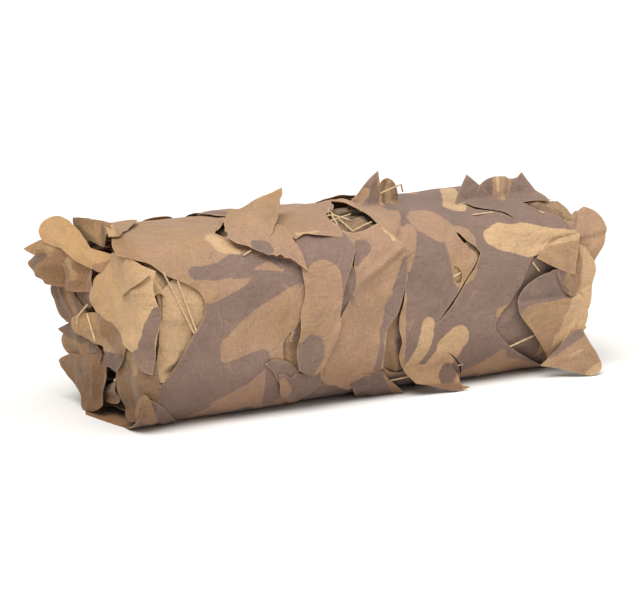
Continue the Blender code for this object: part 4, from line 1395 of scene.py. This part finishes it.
# This leaf stands out in front, in the light, and takes none of the painted shade near the floor.
end_sheet(
    "leaf_floor_corner", in_front, 43, -25.6, "tan",
    cut=(
        (127, 9.2, "corner"), (134, 13.7), (144, 21), (151, 28), (161.5, 31, "corner"), (166, 20), (170, 8),
        (168, 3), (161, 0.5, "corner"), (154, 2.2), (141, 6.2),
    ),
    strokes=(
        ("brown", 134, 14, 160, 28, 1.5, 3), ("ochre", 148, 14, 160, 17.5, 0.5, 0.6),
        ("ochre", 159, 1, 168, 5, 2.5, 3.5),
    ),
    lifts=((140, 12, 166, 16, 2.5, 1.4), (146, 8, 166, 8, 4, 0.8)),
    crumple=0.4, lean=-0.25, drop=0.42, shade=0.82, soil=0.0,
)


# ---- Leaves over the right end --------------------------------------------------------------------
# Leaves of the same cloth as at the left end. Behind those of both ends, deeper turns are packed so
# close that nothing is seen between them: a plain sheet of cloth, painted dark as the shade deep in
# the roll, stands there for them.
right_end = end_face("right")
end_sheet(
    "leaf_far_upper", right_end, 69, 5.0, "tan",
    cut=(
        (-46, 74), (-34, 66), (-16, 70), (-2, 66), (14, 74), (25, 88), (22, 102), (8, 112), (-6, 107),
        (-22, 111), (-38, 104), (-50, 90, "corner"),
    ),
    strokes=(
        ("brown", -52, 92, -26, 80, 9, 12), ("brown", 8, 112, 24, 92, 5, 9), ("ochre", -8, 92, 6, 78, 5, 6),
    ),
    lifts=((-40, 76, 16, 98, 5, 2.0), (-20, 108, -8, 70, 3, -1.4)),
    crumple=1.3,
)
end_sheet(
    "leaf_far_lower", right_end, 70, 4.0, "brown",
    cut=(
        (50, 62, "corner"), (56, 44), (50, 28), (38, 16), (22, 20), (10, 14), (-6, 26), (-17, 40), (-6, 52),
        (6, 50), (20, 60),
    ),
    strokes=(("tan", 48, 18, 26, 34, 9, 7), ("tan", -16, 40, 0, 44, 5, 8)),
    lifts=((46, 36, -6, 40, 4, 1.6), (24, 56, 30, 22, 3, -1.4)),
    crumple=1.3,
)
end_sheet(
    "leaf_far_tip", right_end, 71, 3.0, "ochre",
    cut=((8, 84), (24, 80), (44, 86), (58, 96, "corner"), (44, 106), (24, 110), (8, 104), (2, 94)),
    strokes=(("brown", 34, 110, 54, 100, 6, 5),),
    lifts=((10, 94, 54, 96, 3, 1.4),),
)
end_sheet(
    "leaf_far_wide", right_end, 77, 2.2, "tan",
    cut=(
        (-56, 18, "corner"), (-44, 12), (-28, 8), (-14, 12), (-8, 24), (-14, 38), (-12, 52), (-24, 60),
        (-40, 58), (-54, 48), (-60, 34),
    ),
    strokes=(("brown", -60, 40, -36, 30, 8, 10), ("ochre", -18, 56, -10, 40, 4, 5)),
    lifts=((-52, 24, -20, 50, 4, 1.8), (-34, 12, -30, 56, 3, -1.2)),
    crumple=1.3, own_solid=False,
)
end_sheet(
    "leaf_far_side", right_end, 78, 2.8, "brown",
    cut=((56, 84), (58, 72), (52, 60), (40, 54), (24, 58), (12, 66), (20, 76), (30, 82), (42, 90)),
    strokes=(("tan", 60, 74, 44, 66, 5, 7),),
    lifts=((20, 66, 54, 78, 4, 1.4),),
    crumple=1.2, own_solid=False,
)
for side, place in (("left", left_end), ("right", right_end)):
    end_sheet(
        "packed_turns_" + side, place, 90, -36.0, "brown",
        cut=((-34, 8), (34, 8), (50, 26), (54, 60), (50, 92), (30, 109), (-30, 109), (-50, 92), (-54, 60),
             (-50, 26)),
        crumple=3.0, pitch=3.0, slot="roll_cloth", shade=0.35, own_solid=False)


# ---- The turns inside the roll -------------------------------------------------------------------
# The same cloth and net, wound round and round. Only the outer few centimetres of the winding are
# built at each end, as one thin ruffled strip.
TURN_PITCH = 2.7
TURN_COUNT = 20
FIRST_INSET = 2.2  # how deep the outermost of these turns lies
FIRST_PLACE = 330.0  # and where on the way round it starts
STATION = 3.2  # distance between points along the strip
STRIP_WIDTH = 26.0  # width of the strip
STRIP_ROWS = 6
LEAST_ROUND = 60.0  # the innermost turns are no shorter than this
LEAF_TIPS, TIP_REACH = (12.0, 46.0), 13.0  # width of a leaf at the strip's edge, and how far out it gets
SET_BACK, DEEPER, DEEPER_OVER = 3.0, 13.0, 30.0  # the edge stands back so far, and more inside
BETWEEN_TIPS, LEAST_BACK = 4.0, 1.5  # further back between leaf tips, and no less than that in all
LOW_BACK, BACK_IN, BACK_IN_REACH = 335.0, 13.0, 48.0  # the left end stands back there, and so far
LOW_MIDDLE, HOLLOW, HOLLOW_REACH = 8.0, 22.0, 26.0  # and has a hollow there


def winding_stations():
    """Points along the winding: their depth in the roll, place on the way round and length along it."""
    stations, turns, place, along = [], 0.0, FIRST_PLACE, 0.0
    while turns < TURN_COUNT:
        inset = FIRST_INSET + TURN_PITCH * turns
        around = PERIMETER - 2 * math.pi * inset * 0.92
        step = STATION * PERIMETER / max(around, LEAST_ROUND)
        stations.append((inset, place, along))
        place += step
        turns += step / PERIMETER
        along += STATION
    return np.array(stations).T


def ragged_edge(draw, lengths):
    """How far leaf tips of all sizes stand out along the strip."""
    edge = np.zeros(len(lengths))
    start = 0.0
    while start < lengths[-1]:
        wide, far = draw.uniform(*LEAF_TIPS), draw.uniform(0.0, 1.0) ** 1.5 * TIP_REACH
        point = start + wide * draw.uniform(0.25, 0.75)
        rise = np.where(lengths < point, (lengths - start) / max(point - start, 1),
                        (start + wide - lengths) / max(start + wide - point, 1))
        tip = np.clip(rise, 0, 1) ** draw.uniform(0.5, 1.3)
        inside = (lengths >= start) & (lengths < start + wide)
        edge[inside] = far * tip[inside]
        start += wide
    return edge


def winding(name, end, seed):
    """A spiral strip of cloth whose edge shows ragged leaf tips at one end of the roll."""
    sign = -1 if end == "left" else 1
    depths, places, lengths = winding_stations()
    edge = ragged_edge(np.random.default_rng(seed), lengths)
    recess = (SET_BACK + DEEPER * (1 - np.exp(-depths / DEEPER_OVER))
              + ripple(depths * 3, places, seed, 90.0, 3.5))
    front = ROLL_LENGTH / 2 - np.maximum(recess - edge + BETWEEN_TIPS, LEAST_BACK)
    if end == "left":
        from_low_back = np.abs(np.mod(places, PERIMETER) - LOW_BACK)
        front -= BACK_IN * smoothstep(1.5 - 1.5 * from_low_back / BACK_IN_REACH)
        from_middle = np.abs(np.mod(places - LOW_MIDDLE + PERIMETER / 2, PERIMETER) - PERIMETER / 2)
        front -= HOLLOW * smoothstep(1.6 - 1.6 * from_middle / HOLLOW_REACH)
    grid = np.repeat(np.arange(len(depths)), STRIP_ROWS)
    row = np.tile(np.linspace(0, STRIP_WIDTH, STRIP_ROWS), len(depths))
    half_y, half_z = ROLL_DEPTH / 2, ROLL_HEIGHT / 2
    at, inset = places[grid], depths[grid]
    wobble = (ripple(at, inset * 4, seed + 1, 70.0, 1.1) + ripple(at, inset * 3, seed + 2, 30.0, 0.5)
              + ripple(at, row * 2 + inset * 6, seed + 3, 26.0, 0.45))
    inset = inset + wobble * smoothstep(depths[grid] / 8.0)
    share_y, share_z = np.maximum(half_y - inset, 1.2) / half_y, np.maximum(half_z - inset, 1.0) / half_z
    wrapped = np.mod(at, PERIMETER)
    y = np.interp(wrapped, SECTION_AT, SECTION[:, 0]) * share_y
    z = half_z + (np.interp(wrapped, SECTION_AT, SECTION[:, 1]) - half_z) * share_z
    points = np.column_stack([sign * (front[grid] - row), y, np.maximum(z, FLOOR_GAP + 0.4)])
    first = (np.arange(len(depths) - 1)[:, None] * STRIP_ROWS + np.arange(STRIP_ROWS - 1)).ravel()
    quads = np.column_stack([first, first + 1, first + STRIP_ROWS + 1, first + STRIP_ROWS])
    if sign < 0:
        quads = quads[:, ::-1]
    faces = np.concatenate([quads[:, [0, 1, 2]], quads[:, [0, 2, 3]]])
    flat = np.column_stack([lengths[grid], STRIP_WIDTH - row])
    ink = paint(*flat.T, "tan", common_print(seed + 4, (0, 0), (lengths[-1], STRIP_WIDTH), 40.0))
    cloth_piece(name, flat, faces, row, points, ink, Look("roll_cloth", 0.9))


winding("turns_left", "left", 81)
winding("turns_right", "right", 82)


# ---- The net -------------------------------------------------------------------------------------
# Twisted twine, knotted into a square mesh and wound up with the cloth. Short lengths of it show,
# taut, across gaps in the cloth and along slits.
TWINE = 0.55  # radius of the twine
PLY_TWIST = 6.0  # length of one twist of its two plies
RING, RING_STEP = 8, 0.9  # points round it, and distance between rings
DARK_FIBRE, PALE_FIBRE = "a98a60", "ecd2aa"
FIBRES = 1.111  # how far apart they are drawn


def twine_material():
    """Undyed cotton, twisted: pale, matt and a little hairy."""
    material, tree, shader = new_material("twisted_cotton_twine")
    place = add_node(tree, "ShaderNodeTexCoord").outputs["Object"]
    fibres = add_node(tree, "ShaderNodeTexNoise", Vector=place, Scale=marks(FIBRES),
                      Detail=3.0).outputs["Fac"]
    mixed = add_node(tree, "ShaderNodeMix", {"data_type": "RGBA"},
                     _0=fibres, _6=linear(DARK_FIBRE), _7=linear(PALE_FIBRE))
    tree.links.new(mixed.outputs[2], shader.inputs["Base Color"])
    relief = add_node(tree, "ShaderNodeBump", Strength=0.4, Distance=0.0003, Height=fibres)
    tree.links.new(relief.outputs["Normal"], shader.inputs["Normal"])
    shader.inputs["Roughness"].default_value = 0.85
    return material


def twine_tube(path):
    """Rings of points along a path in millimetres, turning as the two plies twist."""
    at = np.concatenate([[0], np.cumsum(np.linalg.norm(np.diff(path, axis=0), axis=1))])
    places = np.linspace(0, at[-1], max(4, int(at[-1] / RING_STEP)))
    path = np.column_stack([np.interp(places, at, path[:, i]) for i in range(3)])
    way = np.gradient(path, axis=0)
    way /= np.linalg.norm(way, axis=1)[:, None]
    side = np.cross(way, (0.3, 0.2, 0.93))  # no length runs that way
    side /= np.linalg.norm(side, axis=1)[:, None]
    over = np.cross(side, way)
    angle = 2 * math.pi * np.arange(RING) / RING
    twist = 2 * math.pi * places / PLY_TWIST
    wide = TWINE * (0.78 + 0.34 * np.abs(np.cos(angle[None] - twist[:, None] / 2)))
    rings = (path[:, None] + (wide * np.cos(angle))[..., None] * side[:, None]
             + (wide * np.sin(angle))[..., None] * over[:, None])
    count = len(path)
    faces = [(i * RING + j, i * RING + (j + 1) % RING, (i + 1) * RING + (j + 1) % RING, (i + 1) * RING + j)
             for i in range(count - 1) for j in range(RING)]
    faces += [tuple(range(RING))[::-1], tuple((count - 1) * RING + j for j in range(RING))]
    return rings.reshape(-1, 3), [face[::-1] for face in faces]


def taut(start, end, place=round_roll):
    """A taut length between (u, v, height) and another on the roll's side, or such places on an end."""
    ends = place(*np.array([start, end], float).T)
    share = np.linspace(0, 1, 9)[:, None]
    return ends[0] * (1 - share) + ends[1] * share


SIDE_LENGTHS = (
    ((-152.5, 148.5, 1.8), (-135, 108.5, 1.2)), ((-144.5, 142, 1.6), (-133.5, 109.5, 1.2)),
    ((-9, 192, 0.8), (-10.5, 162, 1.4)), ((-10, 162.5, 1.4), (0, 167, 0.6)),
    ((0, 167, 0.6), (8, 169.5, 0.4)), ((-19, 184, 0.4), (-12, 186, 0.6)), ((-14, 188, 0.6), (-2, 206, 0.8)),
    ((-12, 186, 0.4), (-4, 176, -0.6)), ((-16, 172, -0.6), (-12, 187, 0.4)),
    ((11, 163, 1.2), (15, 151, 2.0)), ((-18, 178, -0.4), (2, 186, -0.8)), ((5, 94, 0.6), (3.5, 69, 0.6)),
    ((15, 55, 0.6), (33, 57.5, 1.0)), ((102, 70.5, 0.3), (128, 78, 0.6)),
    ((86, 167, 1.0), (103, 167.5, 0.9)), ((63, 61.5, 0.8), (69, 62.5, 0.8)),
    ((57, 124, 0.4), (63, 126, 0.4)), ((-94.5, 153.5, 1.0), (-88.5, 156, 2.0)),
    ((138.5, 163.5, 1.0), (141, 160.5, 1.2)), ((121.5, 127, 0.7), (127.5, 120.5, 0.3)),
    ((-60, 178, 1.4), (-54, 188, 1.6)), ((33.5, 199, 9), (50, 199, 14)), ((50, 199, 14), (54, 203, 8)),
    # behind the slits of the back
    ((-130, 316, 0.5), (-112, 292, 0.5)), ((-116, 316, 0.5), (-98, 290, 0.5)),
    ((-136, 270, 0.5), (-122, 280, 0.5)), ((74, 262, 0.8), (92, 278, 0.8)),
    ((70, 276, 0.8), (94, 292, 0.8)), ((110, 334, 0.8), (124, 316, 0.8)),
    ((128, 334, 0.8), (142, 316, 0.8)), ((-20, 274, 1.4), (0, 284, 1.4)),
    ((-40, 328, 1.4), (-26, 312, 1.4)), ((-24, 328, 1.4), (-12, 312, 1.4)),
    ((-78, 320, 0.5), (-66, 334, 0.5)), ((130, 246, 0.8), (140, 258, 0.8)),
)
END_LENGTHS = (
    ((-3.5, 72, 8.5), (-18, 62, 8.2)), ((-18, 62, 8.2), (-20, 56, 7.6)),
    ((-4.5, 66, 8.2), (6.5, 50.5, 8.4)), ((18, 27, 1.5), (26, 31, 2.5)),
)
parts = [twine_tube(taut(*row)) for row in SIDE_LENGTHS]
parts += [twine_tube(taut(*row, left_end)) for row in END_LENGTHS]
points, faces = [], []
for part_points, part_faces in parts:
    faces += [[k + len(points) for k in face] for face in part_faces]
    points += (part_points * MM).tolist()
mesh = bpy.data.meshes.new("net_twine")
mesh.from_pydata(points, [], faces)
mesh.materials.append(twine_material())
net = bpy.data.objects.new("net_twine", mesh)
bpy.context.collection.objects.link(net)
mesh.shade_smooth()
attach(net, "root")


# ---- The floor, the lights and the camera --------------------------------------------------------
# Plain studio things, not part of the netting: a matt white floor, two large soft lights and a camera
# a little above and to the left of the part.
bpy.ops.mesh.primitive_plane_add(size=30)
floor = bpy.context.object
floor.name = "floor"
material, tree, shader = new_material("floor_paint")
shader.inputs["Base Color"].default_value = linear("f4f3f1")
shader.inputs["Roughness"].default_value = 0.9
floor.data.materials.append(material)

world = bpy.data.worlds.new("studio")
bpy.context.scene.world = world
world.use_nodes = True
world.node_tree.nodes["Background"].inputs["Color"].default_value = (1.0, 0.955, 0.9, 1.0)
world.node_tree.nodes["Background"].inputs["Strength"].default_value = 0.45
bpy.context.scene.view_settings.view_transform = "Standard"


def looking_from(azimuth, elevation, name, data):
    """An object that looks at the part from there, in degrees, and the way from the part to it."""
    turn, rise = math.radians(azimuth), math.radians(elevation)
    away = Vector((math.sin(turn) * math.cos(rise), -math.cos(turn) * math.cos(rise), math.sin(rise)))
    holder = bpy.data.objects.new(name, data)
    holder.rotation_euler = away.to_track_quat("Z", "Y").to_euler()
    bpy.context.collection.objects.link(holder)
    return holder, away


# How wide each light looks from the part, in degrees, and its strength
Lamp = namedtuple("Lamp", "name azimuth elevation spread strength")
for lamp in (Lamp("key", -55, 58, 40, 2.4), Lamp("fill", 35, 60, 60, 1.0)):
    light = bpy.data.lights.new(lamp.name, "SUN")
    light.angle, light.energy = math.radians(lamp.spread), lamp.strength
    looking_from(lamp.azimuth, lamp.elevation, lamp.name, light)

CAMERA_AZIMUTH, CAMERA_ELEVATION, CAMERA_DISTANCE = -32.0, 11.5, 1.6
FOCAL_IN_WIDTHS = 3.79  # focal length over the picture's width
camera, away = looking_from(CAMERA_AZIMUTH, CAMERA_ELEVATION, "camera", bpy.data.cameras.new("camera"))
camera.location = Vector((0, 0, ROLL_HEIGHT / 2 * MM)) + away * CAMERA_DISTANCE
camera.data.lens = FOCAL_IN_WIDTHS * camera.data.sensor_width
camera.data.shift_x, camera.data.shift_y = -0.0124, -0.0054
bpy.context.scene.camera = camera
